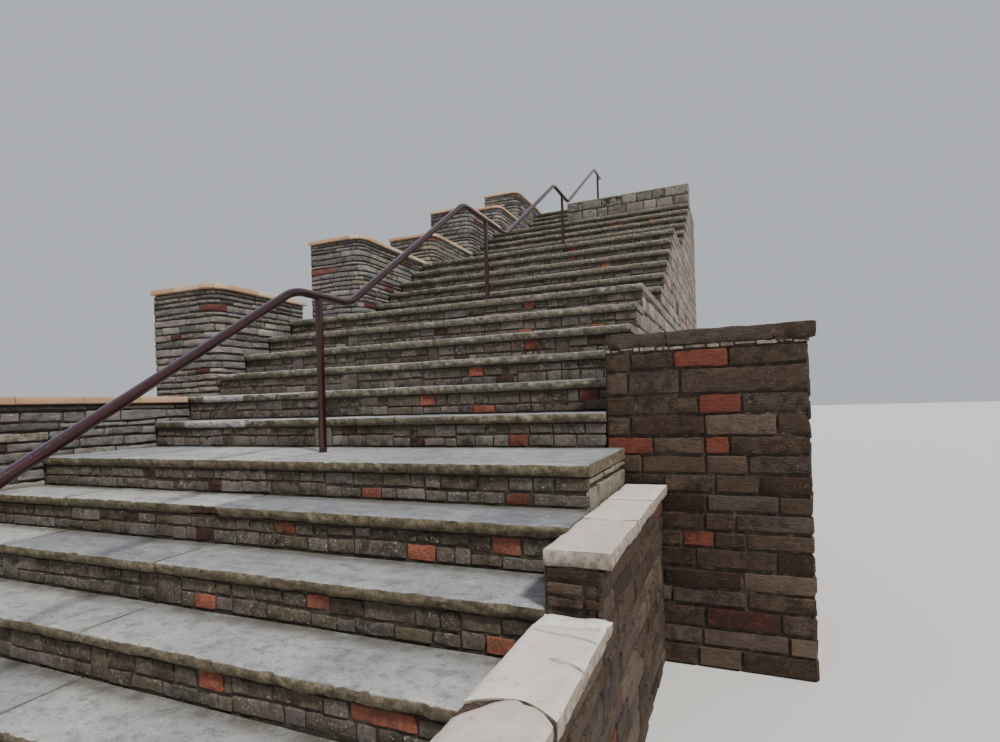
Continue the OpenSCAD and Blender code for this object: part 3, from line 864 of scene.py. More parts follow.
def riser_bays(rng, x0, x1, lo, hi, reds):
    """Bays from, to and the line between their two courses, which is None for one tall stone."""
    at, bays = x0, []
    while at < x1 - 1:
        wide = min(rng.uniform(260, 620), x1 - at)
        if x1 - at - wide < 120:
            wide = x1 - at
        bays.append((at, at + wide, lo + (hi - lo) * rng.uniform(0.42, 0.58)))
        if rng.random() < 0.3 and x1 - at - wide > 400:
            tall = rng.uniform(85, 150)
            if all(at + wide + tall < r[0] - 1 or at + wide > r[1] + 1 for r in reds):
                bays.append((at + wide, at + wide + tall, None))
                wide += tall
        at += wide
    return bays


def riser_rects(rng, f, j, x0, x1):
    """Courses of blocks in one riser, with the red bricks in their places."""
    lo = (top(f, j - 1) if j else top(f - 1, LAST) if f else 0.0) + 1
    hi = top(f, j) - SLAB - 1
    rects, tones = [], []
    # painted sunlight: risers above the first flight and the first landing's riser pick paler stones
    painted_sunlight = 0.16 if f or j == LAST else 0.0
    reds = REDS.get((f, j))
    if reds is None:
        reds = chance_bricks(rng, x0, x1)
    for a, c, mid in riser_bays(rng, x0, x1, lo, hi, reds):
        if mid is None:
            rects.append((a + 2.5, c - 2.5, lo + 3, hi - 3))
            tones.append((rng.random(), 0, rng.random()))
            continue
        for course, (v0, v1) in enumerate(((lo, mid), (mid, hi))):
            cuts = sorted((max(start, a), min(end, c), start, end, dull) for start, end, row, dull in reds
                          if row == course and end > a and start < c)
            darker = 0 if course else 0.22
            u = a
            for r0, r1, start, end, dull in cuts + [(c, c, c, c, 0)]:
                if r0 - u > 14:
                    gap = lay(rng, [(u, r0, v0, v1)], [v0, v1], *RISER_LAY)
                    rects += [tuple(r) for r in gap]
                    tones += [(painted_sunlight + 0.6 * rng.random() + darker, 0, rng.random()) for _ in gap]
                if r1 > r0 and start >= a - 0.5:
                    rects.append((start + 2.5, end - 2.5, v0 + 2.5, v1 - 2.5))
                    tone = DULL_BRICK if dull else (0.3 + 0.65 * rng.random(), 1, 0.3 * rng.random())
                    tones.append(tone)
                u = max(r1, min(end, c))
    return np.array(rects), np.array(tones)


def riser(b, rng, f, j):
    """One riser wall: its blocks, and the mortar and core behind them down to the base."""
    y, xe = front(f, j) + NOSING, end_x(f)
    rects, tones = riser_rects(rng, f, j, LEFT + 2, xe - 2)
    foot, head = top(f, j) - UPPER_RISE, top(f, j) - SLAB
    place, flip = front_map(y)
    # painted shade under the nosing and at the foot of each riser, through the tone's alpha
    blocks(b, rng, rects, place, tones, *RISER_FACETS[f], *RISER_STONE, flip=flip, depth=RISER_MORTAR + 2,
           dirt=lambda u, v: 0.6 * np.exp((v - head) / 15.0) + 0.6 * np.exp((foot + 3 - v) / 13.0),
           warp=wander(foot, head, 6, f * STEPS + j))
    beyond = -MORTAR_IN if j == LAST and f > 2 else RISER_MORTAR
    solid_box(b, (LEFT, y + RISER_MORTAR, 0), (xe - MORTAR_IN, back(f, j) + beyond, head), mat=1)


# the raised bed and the kerb hide the side of the lower flights up to here
BEHIND_BED, BEHIND_KERB = 1130.0, top(0, 3)


def side_columns(f):
    """The right side of a flight: from, to, lowest and highest point beside each step."""
    columns = []
    for j in range(STEPS):
        a = front(f, j) + NOSING + 2
        beside_bed = f == 1 and a < BED[1][1] - 1
        low = BEHIND_KERB if f == 0 else BEHIND_BED if beside_bed else 0.0
        columns.append((a, back(f, j) + (0 if j == LAST else 2), low, top(f, j) - SLAB - 1))
    return columns


core_lines = course_lines(np.random.default_rng(480), 0, top(FLIGHTS - 1, LAST) - SLAB, 95, 150)
for f in range(FLIGHTS):
    b = Bin()
    rng = np.random.default_rng(500 + f)
    for j in range(STEPS):
        riser(b, rng, f, j)
    xe, head = end_x(f), top(f, LAST) - SLAB - 1
    walls = [(right_map(xe), side_columns(f))]
    if f == 3:
        walls.append((back_map(front(4, 0) + NOSING), [(end_x(4) + 4, xe - 2, 0, head)]))
    if f == 4:
        walls.append((back_map(STAIR_END), [(LEFT + 2, xe - 2, 0, head)]))
    for surface, columns in walls:
        face(b, rng, surface, columns, core_lines, CORE_LAY, CORE_STONE, 0.02, mat=2)
    b.build("flight_%d_masonry" % (f + 1), [riser_mat, riser_mortar, core_mat],
            ["flight_%d_risers" % (f + 1), "flight_%d_core" % (f + 1)])


# planters
def stair_level(y):
    """Top of the step that a point y along the stair stands on."""
    tops = [top(f, j) for f in range(FLIGHTS) for j in range(STEPS) if front(f, j) <= y + 0.5]
    return tops[-1] if tops else 0.0


def planter_outline(p0, p1, inset, r):
    arc = [(LEFT - r + (r - inset) * math.sin(a), p0 + r - (r - inset) * math.cos(a))
           for a in np.linspace(0, math.pi / 2, 7)]
    outer = [(OUTER + inset, p0 + inset)] + arc + [(LEFT - inset, p1 - inset), (OUTER + inset, p1 - inset)]
    ix0, ix1 = OUTER + PLANTER_BACK, LEFT - PLANTER_WALL
    iy0, iy1 = p0 + PLANTER_WALL, p1 - PLANTER_BACK
    inner = [(ix0, iy0)] + [(ix1, iy0)] * 7 + [(ix1, iy1), (ix0, iy1)]
    return outer, inner


def planter_columns(n, straight, arc):
    """Front, corner and side of planter n where they show above the steps and the one before."""
    p0, p1, head = PLANTERS[n]
    below = 0.0 if n == 0 else SIDE_LANDING[1][2] if n == 2 else PLANTERS[n - 1][2]
    first, last = p0 + CORNER_R, p1 - 2
    risers = [front(f, j) + NOSING + 3 for f in range(FLIGHTS) for j in range(STEPS)]
    marks = sorted({first, last} | {y for y in risers if first < y < last})
    corner_low = max(0, min(stair_level(p0 - 5), below) - 30) if n else 0
    columns = [(2, straight, max(0, below - 30), head - 1), (straight, straight + arc, corner_low, head - 1)]
    base = straight + arc - first
    for a, c in pairs(marks):
        columns.append((a + base, c + base, max(0, stair_level(a) - 20), head - 1))
    return columns


# planters whose back is free: its lowest point and the heights of its courses
FREE_ENDS = {1: (SIDE_LANDING[1][2], 55, 75), 6: (0, 80, 120)}
outer_lines = course_lines(np.random.default_rng(890), 0, PLANTERS[-1][2], 80, 120)
for n, (p0, p1, head) in enumerate(PLANTERS):
    b = Bin()
    rng = np.random.default_rng(900 + n)
    ring_prism(b, *planter_outline(p0, p1, MORTAR_IN, CORNER_R), 0, head, mat=1)
    surface, straight, arc = corner_map(OUTER, LEFT, p0, CORNER_R)
    # painted shadow under the coping, through the tone's alpha
    face(b, rng, surface, planter_columns(n, straight, arc), course_lines(rng, 0, head - 1, 36, 72),
         LEDGE_LAY, LEDGE_STONE, 0.055, strata=2.5, dirt=lambda u, v: 0.6 * np.exp((v - head) / 28.0),
         warp=wander(0, head - 1, 8, n))
    # the outer side and a free back, of larger stones
    face(b, rng, left_map(OUTER), [(p0 + 1, p1 - 1, 0, head - 1)], outer_lines, OUTER_LAY, PLAIN_STONE, 0.02)
    if n in FREE_ENDS:
        low, thin, thick = FREE_ENDS[n]
        face(b, rng, back_map(p1), [(OUTER + 2, LEFT - 2, low, head - 1)],
             course_lines(rng, low, head - 1, thin, thick), END_LAY, SMALL_STONE, 0.04)
    name = "planter_" + PLANTER_NAMES[n]
    b.build(name + "_wall", [ledge_mat, mortar_mat], [name])


# coping tiles: a tile in section, as share of its width from the outer edge and of its height
TILE_SECTION = [(0.0, 0.12), (0.0, 0.62), (0.018, 0.86), (0.06, 1.0), (0.5, 1.0), (0.97, 1.0), (1.0, 0.9),
                (1.0, 0.0), (0.03, 0.0)]
TILE, CORNER_TILE, TILE_JOINT = 330, 125, 4


def edge_line(x, y):
    return np.stack(np.broadcast_arrays(x, y), -1)


def tile_run(b, rng, outer, inner, z0, length, tile=TILE):
    """Tiles between an outer and an inner edge line of the given length."""
    edges = np.linspace(0, 1, max(1, round(length / tile)) + 1)
    joint = TILE_JOINT / 2 / length
    z1 = z0 + COPING_T
    m, parts = len(TILE_SECTION), len(outer) - 1
    for lo, hi in [(a + joint, c - joint) for a, c in pairs(edges)]:
        k = max(2, int(np.ceil((hi - lo) * parts)) + 1)
        at = np.linspace(lo, hi, k) * parts
        po, pi = (np.stack([np.interp(at, np.arange(parts + 1), line[:, a]) for a in (0, 1)], -1)
                  for line in (outer, inner))
        lift = rng.uniform(-1.5, 0.0)
        push = rng.uniform(0, 0.012)
        rows = []
        for t, height in TILE_SECTION:
            xy = po + (pi - po) * (max(t, push) if t < 0.5 else t)
            z = min(z0 + (z1 - z0 + lift) * height, z1 - 0.1)
            rows.append(np.concatenate([xy, np.full((k, 1), z)], 1))
        b.add(np.stack(rows, 1), ring_faces(k, m), (rng.random(), 0, rng.random()))


b = Bin()
for n, (p0, p1, head) in enumerate(PLANTERS):
    rng = np.random.default_rng(1300 + n)
    over, ro = COPING_OVER, CORNER_R + COPING_OVER
    end_out = p1 + (over if n in FREE_ENDS else 0) - 1
    xi, yi, xb = LEFT - PLANTER_WALL - over, p0 + PLANTER_WALL + over, OUTER + PLANTER_BACK
    side_end = min(front(1, 1) - 3, end_out) if n == 0 else end_out
    # front row
    xs = np.linspace(OUTER + 1, LEFT + over - ro, 12)
    tile_run(b, rng, edge_line(xs, p0 - over + 0.5), edge_line(np.minimum(xs, xi), yi), head, xs[-1] - xs[0])
    # corner
    th, spread = np.linspace(0, math.pi / 2, 13), np.linspace(0, 1, 13)
    outer = edge_line(LEFT + over - ro + ro * np.sin(th), p0 - over + 0.5 + ro - ro * np.cos(th))
    inner = edge_line(xi - 12 * (1 - spread), yi - 2 + 12 * spread)
    tile_run(b, rng, outer, inner, head, ro * math.pi / 2, CORNER_TILE)
    # side row, which has no overhang past the second step of the second flight beside planter a
    ys = np.linspace(p0 - over + ro, side_end, 30)
    tile_run(b, rng, edge_line(LEFT + over - 0.5, ys), edge_line(xi, np.maximum(ys, yi)), head,
             side_end - ys[0])
    if n == 0:
        ys = np.linspace(side_end + 6, end_out, 12)
        tile_run(b, rng, edge_line(LEFT - 1, ys), edge_line(xi, ys), head, end_out - ys[0])
    # end row and outer row
    xs = np.linspace(xi - 6, xb + 6, 10)
    tile_run(b, rng, edge_line(xs, end_out), edge_line(xs, p1 - PLANTER_BACK), head, xs[0] - xs[-1])
    ys = np.linspace(end_out, yi + 6, 30)
    tile_run(b, rng, edge_line(OUTER + 1, ys), edge_line(xb, ys), head, ys[0] - ys[-1])
b.build("coping_tiles", [coping_mat], ["planter_copings"])

# rings round a rough slab's edge: share of its height and how far it stands out
PLATE_RINGS = ((0.22, 2.5), (0.5, 3.5), (0.78, 1.0), (1.0, -6.0))


def oblong(x0, x1, y0, y1):
    return [(x0, y0), (x1, y0), (x1, y1), (x0, y1)]


def plate(b, corners, z, thick, seed, tone, pitch, ragged, wavy, mat=0, bend=(0.0, 0.0), cracks=(), dome=0.0,
          knobbly=3.0):
    """A broken-edged slab over the outline corners (near left, near right, far right, far left).
    Bend is how far its near and far edges bow up the stair. Cracks are lines x, y to x, y."""
    c = np.array(corners, float)
    nu = max(3, int(np.linalg.norm(c[1] - c[0]) / pitch))
    nv = max(3, int(np.linalg.norm(c[3] - c[0]) / pitch))
    s = np.linspace(0, 1, nu + 1)[None, :, None]
    t = np.linspace(0, 1, nv + 1)[:, None, None]
    base = c[0] * (1 - s) * (1 - t) + c[1] * s * (1 - t) + c[2] * s * t + c[3] * (1 - s) * t
    base[..., 1] += (np.sin(math.pi * s) * (bend[0] * (1 - t) + bend[1] * t))[..., 0]
    flat = np.ones(base.shape[:2] + (1,))
    mid = c.mean(0)
    oj, oi = rim_order(nu, nv)
    m = len(oj)
    near_rim = np.minimum(np.minimum(s, 1 - s), np.minimum(t, 1 - t))
    wob = fbm(np.concatenate([base, flat * seed * 3.0], -1), 60, seed)
    pull = (ragged * (0.9 + 0.8 * wob))[..., None] * np.clip(1 - near_rim * 6, 0, 1)
    away = mid - base
    away = away / np.maximum(np.linalg.norm(away, axis=-1, keepdims=True), 1)
    grid = base + away * np.maximum(pull, 0)
    near_rim = near_rim[..., 0]
    hgt = -np.abs(fbm(np.concatenate([base, flat], -1), 90, seed + 3)) * wavy - 0.3
    hgt = hgt - np.clip(1 - near_rim * 14, 0, 1) * 3.5 - dome * np.clip(1 - near_rim * 3.6, 0, 1) ** 2
    shade = np.zeros(hgt.shape)
    for x0, y0, x1, y1 in cracks:
        a, run = np.array([x0, y0]), np.array([x1 - x0, y1 - y0])
        along = np.clip(((grid - a) @ run) / (run @ run), 0, 1)
        bow = 2.2 * np.sin(along * math.pi * 2.2) + 1.5 * noise1(along * 100, 16, seed)
        off = np.linalg.norm(grid - a - along[..., None] * run + np.stack([bow * 0, bow], -1), axis=-1)
        hgt = hgt - 6 * np.exp(-(off / 3.0) ** 2)
        shade = np.maximum(shade, np.exp(-(off / 3.6) ** 2))
    surface = np.concatenate([grid, (z + hgt)[..., None]], -1)
    rim = surface[oj, oi]
    out = rim[:, :2] - mid
    out = out / np.linalg.norm(out, axis=-1, keepdims=True)
    count = (nv + 1) * (nu + 1)
    verts, ring, faces = [surface.reshape(-1, 3)], oj * (nu + 1) + oi, [grid_quads(nu, nv)]
    for k, (level, grow) in enumerate(PLATE_RINGS):
        r = noise(np.stack([rim[:, 0] / 24, rim[:, 1] / 24, np.full(m, k * 1.7 + seed)], -1), seed + 9)
        xy = rim[:, :2] + out * np.minimum(grow + r * knobbly, np.maximum(pull[oj, oi, 0], 0))[:, None]
        verts.append(np.concatenate([xy, np.full((m, 1), z - thick * level)], 1))
        below = count + m * k + np.arange(m)
        faces.append(skirt(ring, below))
        ring = below
    verts = np.concatenate(verts)
    tones = np.zeros((len(verts), 4))
    tones[:, :3] = tone
    tones[:count, 2] = np.maximum(tones[:count, 2], shade.reshape(-1))
    b.add(verts, faces + [ring[::-1][None]], tones, mat)


def plates(b, outlines, z, thick, seed, tone, *shape):
    """Plates of one kind over several outlines. tone gives each its tone."""
    for k, corners in enumerate(outlines):
        plate(b, corners, z, thick, seed + k, tone(k), *shape)


# side landing
lo, hi = SIDE_LANDING
b = Bin()
rng = np.random.default_rng(1500)
solid_box(b, (lo[0] + MORTAR_IN, lo[1] - MORTAR_IN, 0), (hi[0], hi[1] + MORTAR_IN, hi[2] - 12), mat=1)
face(b, rng, left_map(lo[0]), [(lo[1] + 1, hi[1] - 1, 0, hi[2] - SLAB - 2)], outer_lines, OUTER_LAY,
     PLAIN_STONE, 0.02)
columns = pairs([lo[0] + 1, lo[0] + 330, hi[0] - 1])
rows = pairs(np.linspace(lo[1] + 1, hi[1] - 1, 4))
plates(b, [oblong(x0 + 2, x1 - 2, y0 + 2, y1 - 2) for x0, x1 in columns for y0, y1 in rows], hi[2], SLAB,
       1510, lambda k: (rng.random(), 0, 0), 30, 3, 2, 2)
b.build("side_landing_stones", [ledge_mat, mortar_mat, tread_mat], ["side_landing"])

# kerb wall, with a low front part and a high back part
KERB, KERB_SLABS = box_mm("kerb_wall"), box_mm("kerb_slabs")
(left, near, _), (right, far, KERB_TOP) = KERB
KERB_LOW = BEHIND_KERB - SLAB
BREAK_Y = front(0, 3)
b = Bin()
rng = np.random.default_rng(1600)
solid_box(b, (left, near + MORTAR_IN, 0), (right - MORTAR_IN, BREAK_Y + MORTAR_IN, KERB_LOW), mat=1)
solid_box(b, (left, BREAK_Y + MORTAR_IN, 0), (right - MORTAR_IN, far, KERB_TOP), mat=1)
face(b, rng, right_map(right), [(near + 2, BREAK_Y, 0, KERB_LOW), (BREAK_Y, far - 2, 0, KERB_TOP)],
     course_lines(rng, 0, KERB_TOP, 60, 95), KERB_LAY, SMALL_STONE, 0.06)
face(b, rng, front_map(near), [(left + 2, right - 2, 0, KERB_LOW)], course_lines(rng, 0, KERB_LOW, 60, 95),
     KERB_FRONT_LAY, SMALL_STONE)
face(b, rng, front_map(BREAK_Y), [(left + 2, right - 2, KERB_LOW, KERB_TOP)],
     np.linspace(KERB_LOW + SLAB, KERB_TOP, 4), KERB_STEP_LAY, SMALL_STONE)
b.build("kerb_wall_stones", [bed_mat, bed_mortar], ["kerb_wall"])

# kerb slabs: three low ones, the broken joint between the first two, and three high ones
b = Bin()
x0, x1, y0, y1 = KERB_SLABS[0][0] + 0.5, KERB_SLABS[1][0] - 0.5, near + 1, BREAK_Y - 1
# for each low slab its corners, ragged edge, waviness, bend, cracks and dome
LOW_SLABS = [([(x0, y0), (x1, y0), (x1 - 4, y0 + 287), (x0 + 1, y0 + 256)], 5, 3.5, (0, 76), (), 5),
             ([(x0, y0 + 300), (x1, y0 + 292), (x1 - 3, y0 + 705), (x0, y0 + 700)], 2, 2.0, (46, 6),
              [(x0 + 107, y0 + 518, x0 + 192, y0 + 487), (x0 + 10, y0 + 664, x0 + 180, y0 + 630)], 2),
             ([(x0, y0 + 706), (x1, y0 + 710), (x1, y1 - 6), (x0 + 3, y1 - 2)], 6, 7.0, (0, 0), (), 6)]
low_top, high_top = KERB_LOW + SLAB, KERB_TOP + SLAB
for k, (corners, ragged, wavy, bend, cracks, dome) in enumerate(LOW_SLABS):
    plate(b, corners, low_top, SLAB, 1620 + k, (0.35 + 0.25 * k, 0, 0), 8, ragged, wavy, 0, bend, cracks,
          dome)
plate(b, [(x0 + 2, y0 + 250), (x0 + 40, y0 + 286), (x0 + 38, y0 + 306), (x0 + 2, y0 + 300)], low_top - 5, 42,
      1626, (0.55, 0, 0.9), 8, 4, 4, 1)
plate(b, [(x0 + 8, y0 + 190), (x1 - 14, y0 + 190), (x1 - 12, y0 + 400), (x0 + 8, y0 + 400)], low_top - 7, 36,
      1627, (0.5, 0, 0.5), 9, 3, 7, 2)
marks = pairs([BREAK_Y + 1, BREAK_Y + 430, far - 430, far - 2])
plates(b, [oblong(x0, x1, a, c - 5) for a, c in marks], high_top, SLAB, 1630, lambda k: (0.3 + 0.2 * k, 0, 0),
       16, 6, 2.5)
b.build("kerb_slab_stones", [pale_mat, bed_mat, riser_mortar], ["kerb_slabs"], 45)

# raised bed: for each course of its front the height and the stones (width, tone, brick or not), from
# the top down and from the left; a width of 0 runs to the right end
BED_FRONT = [(86, [(118, 0.3, 0), (196, 0.2, 0), (232, 0.55, 1), (0, 0.35, 0)]),
             (118, [(104, 0.65, 0), (236, 0.75, 0), (0, 0.45, 0)]),
             (90, [(132, 0.15, 0), (283, 0.5, 0), (180, 0.4, 1), (0, 0.7, 0)]),
             (98, [(112, 0.55, 0), (330, 0.1, 0), (290, 0.9, 0), (0, 0.4, 0)]),
             (84, [(212, 0.5, 1), (226, 0.6, 0), (104, 0.7, 1), (0, 0.25, 0)])]
CRUMBS = 26.0
(left, near, _), (right, far, HEAD) = BED


def bed_core(b):
    """The mortar body of the bed's wall, open on the stair's side."""
    ins, wall = MORTAR_IN, BED_WALL
    outline = [(left, near + ins), (right - ins, near + ins), (right - ins, far - ins), (left, far - ins),
               (left, far - wall), (right - wall, far - wall), (right - wall, near + wall),
               (left, near + wall)]
    n = len(outline)
    v = np.array([(x, y, z) for z in (0, HEAD) for x, y in outline])
    b.add(v, ring_faces(2, n), PLAIN, 1)


def bed_front(rng):
    """Stones of the bed's front, whose places and tones follow the photo."""
    rects, tones = [], []
    level = HEAD - CRUMBS
    for high, stones in BED_FRONT:
        at = left + 2
        for width, pick, brick in stones:
            to = at + width if width else right - 2 - rng.uniform(0, 5)
            rects.append((at + 1.5, to - 1.5, level - high + 1.5 + rng.uniform(0, 4),
                          level - 1.5 - rng.uniform(0, 3)))
            tones.append((pick, brick, rng.random() * (0.4 if brick else 1)))
            at = to
        level -= high
    return rects, tones, level


b = Bin()
rng = np.random.default_rng(1700)
bed_core(b)
surface, wide = front_map(near), (left + 2, right - 2)
rects, tones, level = bed_front(rng)
blocks(b, rng, rects, surface[0], tones, *BED_STONE, strata=4.0, warp=wander(0, HEAD - 1, 6, 3))
face(b, rng, surface, [(*wide, HEAD - CRUMBS, HEAD - 1)], [HEAD - CRUMBS, HEAD - 1], CRUMB_LAY, CRUMB, mat=2)
face(b, rng, surface, [(*wide, 0, level)], course_lines(rng, 0, level, 76, 100), BED_LOW_LAY,
     SMALL_STONE, 0.06)
for surface, u0, u1 in ((right_map(right), near + 2, far - 2), (back_map(far), left + 2, right - 2)):
    face(b, rng, surface, [(u0, u1, 0, HEAD - 1)], course_lines(rng, 0, HEAD - 1, 80, 115), BED_SIDE_LAY,
         PLAIN_STONE, 0.05)
b.build("bed_wall_stones", [bed_mat, bed_mortar, crumb_mortar], ["bed_wall_right"])

# coping of the bed: front, right and back
b = Bin()
(left, near, low), (right, far, z) = BED_COPING
y0, y1, xr = near + 0.5, near + BED_WALL, right - BED_WALL - 25
for k, (a, c) in enumerate(pairs([left + 1, left + 290, left + 732, right - 1])):
    a, c = a - (5 if k else 0), c + (5 if k < 2 else 0)
    plate(b, [(a, y0), (c, y0), (c + (16 if k == 1 else 0), y1), (a + (16 if k == 2 else 0), y1)], z, z - low,
          1740 + k, (0.4 if k == 2 else 0.75, 0, 0.3), 12, 9, 8, knobbly=8)
spans = ((y1 + 6, y1 + 440), (y1 + 446, y1 + 790), (y1 + 796, far - 1))
plates(b, [oblong(xr, right - 1, a, c) for a, c in spans], z, z - low, 1750, lambda k: (rng.random(), 0, 0.4),
       18, 6, 4)
spans = ((left + 1, left + 300), (left + 305, xr - 6))
plates(b, [oblong(a, c, far - BED_WALL, far - 1) for a, c in spans], z, z - low, 1760,
       lambda k: (rng.random(), 0, 0.4), 18, 6, 4)
b.build("bed_coping_slabs", [bed_mat], ["bed_coping"], 45)

# low block wall, with smaller facets on the side that the photo shows
(left, near, low), (right, far, high) = box_mm("top_block_wall")
SEEN, UNSEEN, INSET = (26, 5), (45, 4), 12
b = Bin()
rng = np.random.default_rng(1800)
solid_box(b, (left + INSET, near + INSET, low), (right - INSET, far - INSET, high - INSET), mat=1)
across, along = (left + 1, right - 1), (near + 1, far - 1)
for surface, span, facets in ((front_map(near), across, SEEN), (back_map(far), across, UNSEEN),
                              (right_map(right), along, UNSEEN), (left_map(left), along, UNSEEN)):
    face(b, rng, surface, [(*span, low + 1, high - 1)], [low, low + 150, high], BLOCK_LAY,
         facets + BLOCK_STONE, depth=14)
plates(b, [oblong(a + 2, c - 2, *along) for a, c in pairs(np.linspace(*across, 8))], high, 30, 1810,
       lambda k: (rng.random(), 0, 0.4), 30, 5, 4)
b.build("top_wall_blocks", [block_mat, mortar_mat], ["top_block_wall"])

# handrail: over each landing a level stretch (from, to) and a post, and a post at the foot
RAIL_D, RAIL_H, RAIL_BEND = 42.0, 818.0, 250
SIDES = 28
POSTS = box_mm("handrail_posts")
RAIL_X, POST_W, POST_ROUND = (POSTS[0][0] + POSTS[1][0]) / 2, POSTS[1][0] - POSTS[0][0], 3.0
FOOT_Z, FOOT_Y = top(0, 0) + 779, front(0, 0)
LEVEL = [(front(1, 0) - 464, front(1, 0) - 31), (front(2, 0) - 915, front(2, 0) + 5),
         (front(3, 0) - 753, front(3, 0) - 123), (front(3, LAST) + 200, front(3, LAST) + 610)]
POST_Y = [front(1, 0) - 285, front(2, 0) - 473, front(3, 0) - 391, front(3, LAST) + 430]
# rounded ends: share of the rail's thickness and how far it stands out
RAIL_ENDS = ((0.86, 4.0), (0.5, 7.5))


def rounded(points, radius, turns=9):
    """A path in a plane with its corners rounded off."""
    pts = [np.array(p, float) for p in points]
    out = [pts[0]]
    for a, p, c in zip(pts[:-2], pts[1:-1], pts[2:]):
        u, w = (a - p) / np.linalg.norm(a - p), (c - p) / np.linalg.norm(c - p)
        half = math.acos(np.clip(u @ w, -1, 1)) / 2
        cut = min(radius / math.tan(half), 0.45 * np.linalg.norm(a - p), 0.45 * np.linalg.norm(c - p))
        r = cut * math.tan(half)
        centre = p + (u + w) / np.linalg.norm(u + w) * (r / math.sin(half))
        s, e = p + u * cut - centre, p + w * cut - centre
        ang = math.acos(np.clip(s @ e / r / r, -1, 1))
        for k in range(turns + 1):
            t = k / turns
            out.append(centre + (s * math.sin((1 - t) * ang) + e * math.sin(t * ang)) / math.sin(ang))
    return np.array(out + [pts[-1]])


def rail():
    points = [(FOOT_Y + 35, FOOT_Z), (FOOT_Y + 165, FOOT_Z)]
    for k, span in enumerate(LEVEL):
        points += [(y, top(k, LAST) + RAIL_H) for y in span]
    path = rounded(points, RAIL_BEND)
    tangent = np.gradient(path, axis=0)
    tangent /= np.linalg.norm(tangent, axis=1, keepdims=True)
    th = np.linspace(0, 2 * math.pi, SIDES, endpoint=False)
    off = RAIL_D / 2 * np.cos(th)
    rings = [np.stack([RAIL_X + RAIL_D / 2 * np.sin(th), y - tz * off, z + ty * off], -1)
             for (y, z), (ty, tz) in zip(path, tangent)]
    for row, sign in ((0, -1), (-1, 1)):
        ring, centre = rings[row], np.array([RAIL_X, *path[row]])
        for shrink, push in RAIL_ENDS:
            end = centre + (ring - centre) * shrink + np.array([0, *tangent[row]]) * push * sign
            rings.insert(0 if sign < 0 else len(rings), end)
    b = Bin()
    b.add(np.array(rings), ring_faces(len(rings), SIDES), PLAIN)
    b.build("handrail_tube", [paint_mat], ["handrail"], 60)


def post(b, y, z0, z1):
    """A square bar with rounded edges that ends inside the rail."""
    r, mid = POST_ROUND, POST_W / 2 - POST_ROUND
    outline = []
    for sx, sy, start in ((1, 1, 0), (-1, 1, 90), (-1, -1, 180), (1, -1, 270)):
        turns = [math.radians(start + a) for a in (0, 30, 60, 90)]
        outline += [(sx * mid + r * math.cos(a), sy * mid + r * math.sin(a)) for a in turns]
    levels = [(z0 - 4, 1.0), (z0 + 6, 1.0), ((z0 + z1) / 2, 1.0), (z1 - RAIL_D * 0.45, 1.0), (z1 - 4, 0.9)]
    v = np.array([(RAIL_X + p[0] * s, y + p[1] * s, z) for z, s in levels for p in outline])
    b.add(v, ring_faces(len(levels), len(outline)), PLAIN)


rail()
b = Bin()
for k, y in enumerate(POST_Y):
    post(b, y, top(k, LAST), top(k, LAST) + RAIL_H)
post(b, FOOT_Y + 105, top(0, 0), FOOT_Z)
b.build("handrail_post_bars", [paint_mat], ["handrail_posts"])

# fill of the planters and the bed: loose rubble on the CAD fill
fill = bpy.data.objects["planter_fill"]
fill.data.materials.clear()
fill.data.materials.append(riser_mortar)

# a stone of the rubble starts as a regular body of twenty faces, of radius 1
GOLD, ICO_R = (1 + math.sqrt(5)) / 2, 1.902
ICO = np.array([(-1, GOLD, 0), (1, GOLD, 0), (-1, -GOLD, 0), (1, -GOLD, 0), (0, -1, GOLD), (0, 1, GOLD),
                (0, -1, -GOLD), (0, 1, -GOLD), (GOLD, 0, -1), (GOLD, 0, 1), (-GOLD, 0, -1), (-GOLD, 0, 1)])
ICO = ICO / ICO_R
ICO_FACES = np.array([(0, 11, 5), (0, 5, 1), (0, 1, 7), (0, 7, 10), (0, 10, 11), (1, 5, 9), (5, 11, 4),
                      (11, 10, 2), (10, 7, 6), (7, 1, 8), (3, 9, 4), (3, 4, 2), (3, 2, 6), (3, 6, 8),
                      (3, 8, 9), (4, 9, 5), (2, 4, 11), (6, 2, 10), (8, 6, 7), (9, 8, 1)])
SPACING, EDGE_IN, SPREAD = 62.0, 38, 9


def rubble(b, rng, x0, x1, y0, y1, z):
    """Small stones over a level field, all inside it."""
    gx, gy = np.meshgrid(np.arange(x0 + EDGE_IN, x1 - EDGE_IN + 2, SPACING),
                         np.arange(y0 + EDGE_IN, y1 - EDGE_IN + 2, SPACING))
    spots = np.stack([gx.ravel(), gy.ravel()], -1)
    spots = spots + rng.uniform(-SPREAD, SPREAD, spots.shape)
    for x, y in spots:
        size = rng.uniform(18, 36)
        shape = ICO * size * rng.uniform(0.8, 1.15, (12, 1))
        shape = shape * np.array([rng.uniform(0.9, 1.25), 1.0, rng.uniform(0.5, 0.8)])
        a = rng.uniform(0, math.pi)
        shape = shape @ np.array([[math.cos(a), -math.sin(a), 0], [math.sin(a), math.cos(a), 0], [0, 0, 1]])
        shape[:, 0] = np.clip(shape[:, 0] + x, x0 + 1, x1 - 1)
        shape[:, 1] = np.clip(shape[:, 1] + y, y0 + 1, y1 - 1)
        shape[:, 2] += z + size * 0.3
        b.add(shape, ICO_FACES, (rng.random(), rng.random() < 0.05, rng.random()))


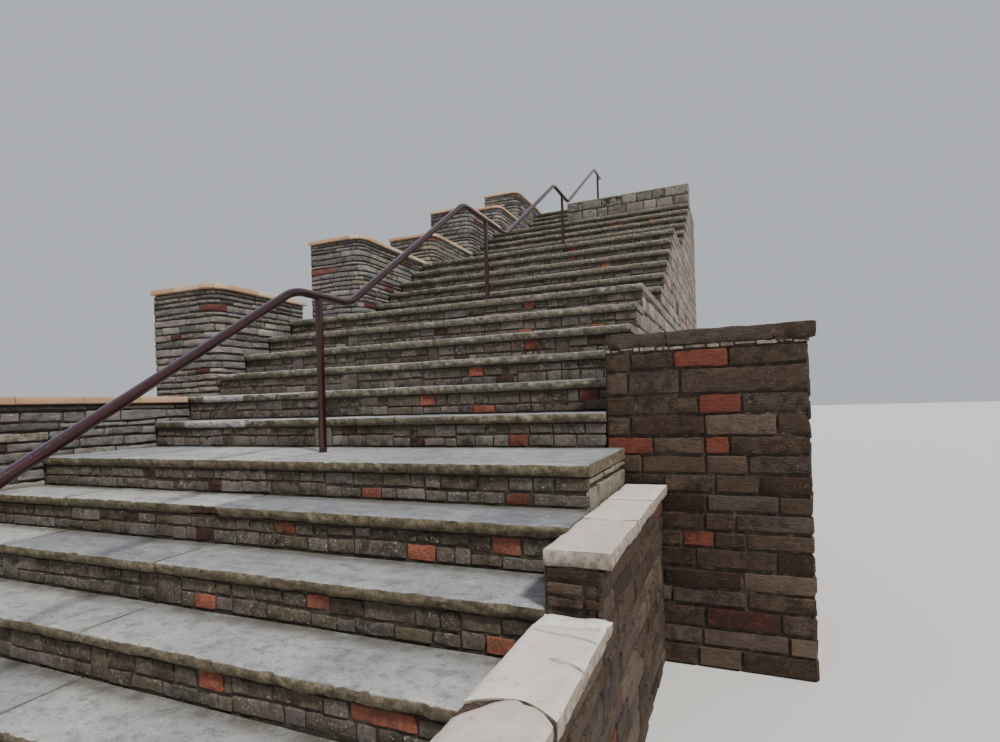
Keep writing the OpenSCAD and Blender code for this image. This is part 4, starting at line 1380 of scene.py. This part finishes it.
b = Bin()
rng = np.random.default_rng(1900)
for p0, p1, head in PLANTERS:
    rubble(b, rng, OUTER + PLANTER_BACK, LEFT - PLANTER_WALL, p0 + PLANTER_WALL, p1 - PLANTER_BACK,
           head - FILL_DEPTH)
rubble(b, rng, BED[0][0], BED[1][0] - BED_WALL, BED[0][1] + BED_WALL, BED[1][1] - BED_WALL, HEAD - FILL_DEPTH)
b.build("fill_rubble", [core_mat], [], 50)

# floor
floor_mat = Shader("studio_floor")
floor_mat.feed(floor_mat.bsdf.inputs, {"Base Color": (0.72, 0.71, 0.69), "Roughness": 0.9})
mesh = bpy.data.meshes.new("studio_floor")
s = 60.0
mesh.from_pydata([(-s, -s, 0), (s, -s, 0), (s, s, 0), (-s, s, 0)], [], [(0, 1, 2, 3)])
mesh.materials.append(floor_mat.material)
floor = bpy.data.objects.new("studio_floor", mesh)
bpy.context.scene.collection.objects.link(floor)

# light
world = bpy.data.worlds.new("studio")
bpy.context.scene.world = world
world.use_nodes = True
world.node_tree.nodes["Background"].inputs["Color"].default_value = (0.86, 0.90, 0.96, 1)
world.node_tree.nodes["Background"].inputs["Strength"].default_value = 0.6


def sun(name, azimuth, elevation, strength, angle, colour):
    data = bpy.data.lights.new(name, "SUN")
    data.energy = strength
    data.angle = math.radians(angle)
    data.color = colour
    obj = bpy.data.objects.new(name, data)
    obj.rotation_euler = (math.radians(90 - elevation), 0, math.radians(azimuth))
    bpy.context.scene.collection.objects.link(obj)


sun("key", 54, 51, 3.4, 7, (1.0, 0.965, 0.91))

# camera, fitted to the photo: its place in lower rises from the first landing's front line and the
# ground, its focal length in pixels of the photo, its roll and its turn
LOWER_RISE = 165.0
EYE = (13.03, -11.941, 1.383 + STEPS)
FOCAL, PHOTO_WIDTH, SENSOR = 565.3, 1000, 36.0
ROLL, TURN, UP_SHIFT = 0.030, 0.398, 0.0321
cam = bpy.data.cameras.new("camera")
cam.sensor_width = SENSOR
cam.lens = SENSOR * FOCAL / PHOTO_WIDTH
cam.shift_y = UP_SHIFT
cam.clip_end = 200
cam_obj = bpy.data.objects.new("camera", cam)
cam_obj.location = tuple(float(c) for c in (np.array(EYE) * LOWER_RISE - SHIFT) / 1000)
cam_obj.rotation_euler = (math.pi / 2, ROLL, TURN)
bpy.context.scene.collection.objects.link(cam_obj)
bpy.context.scene.camera = cam_obj
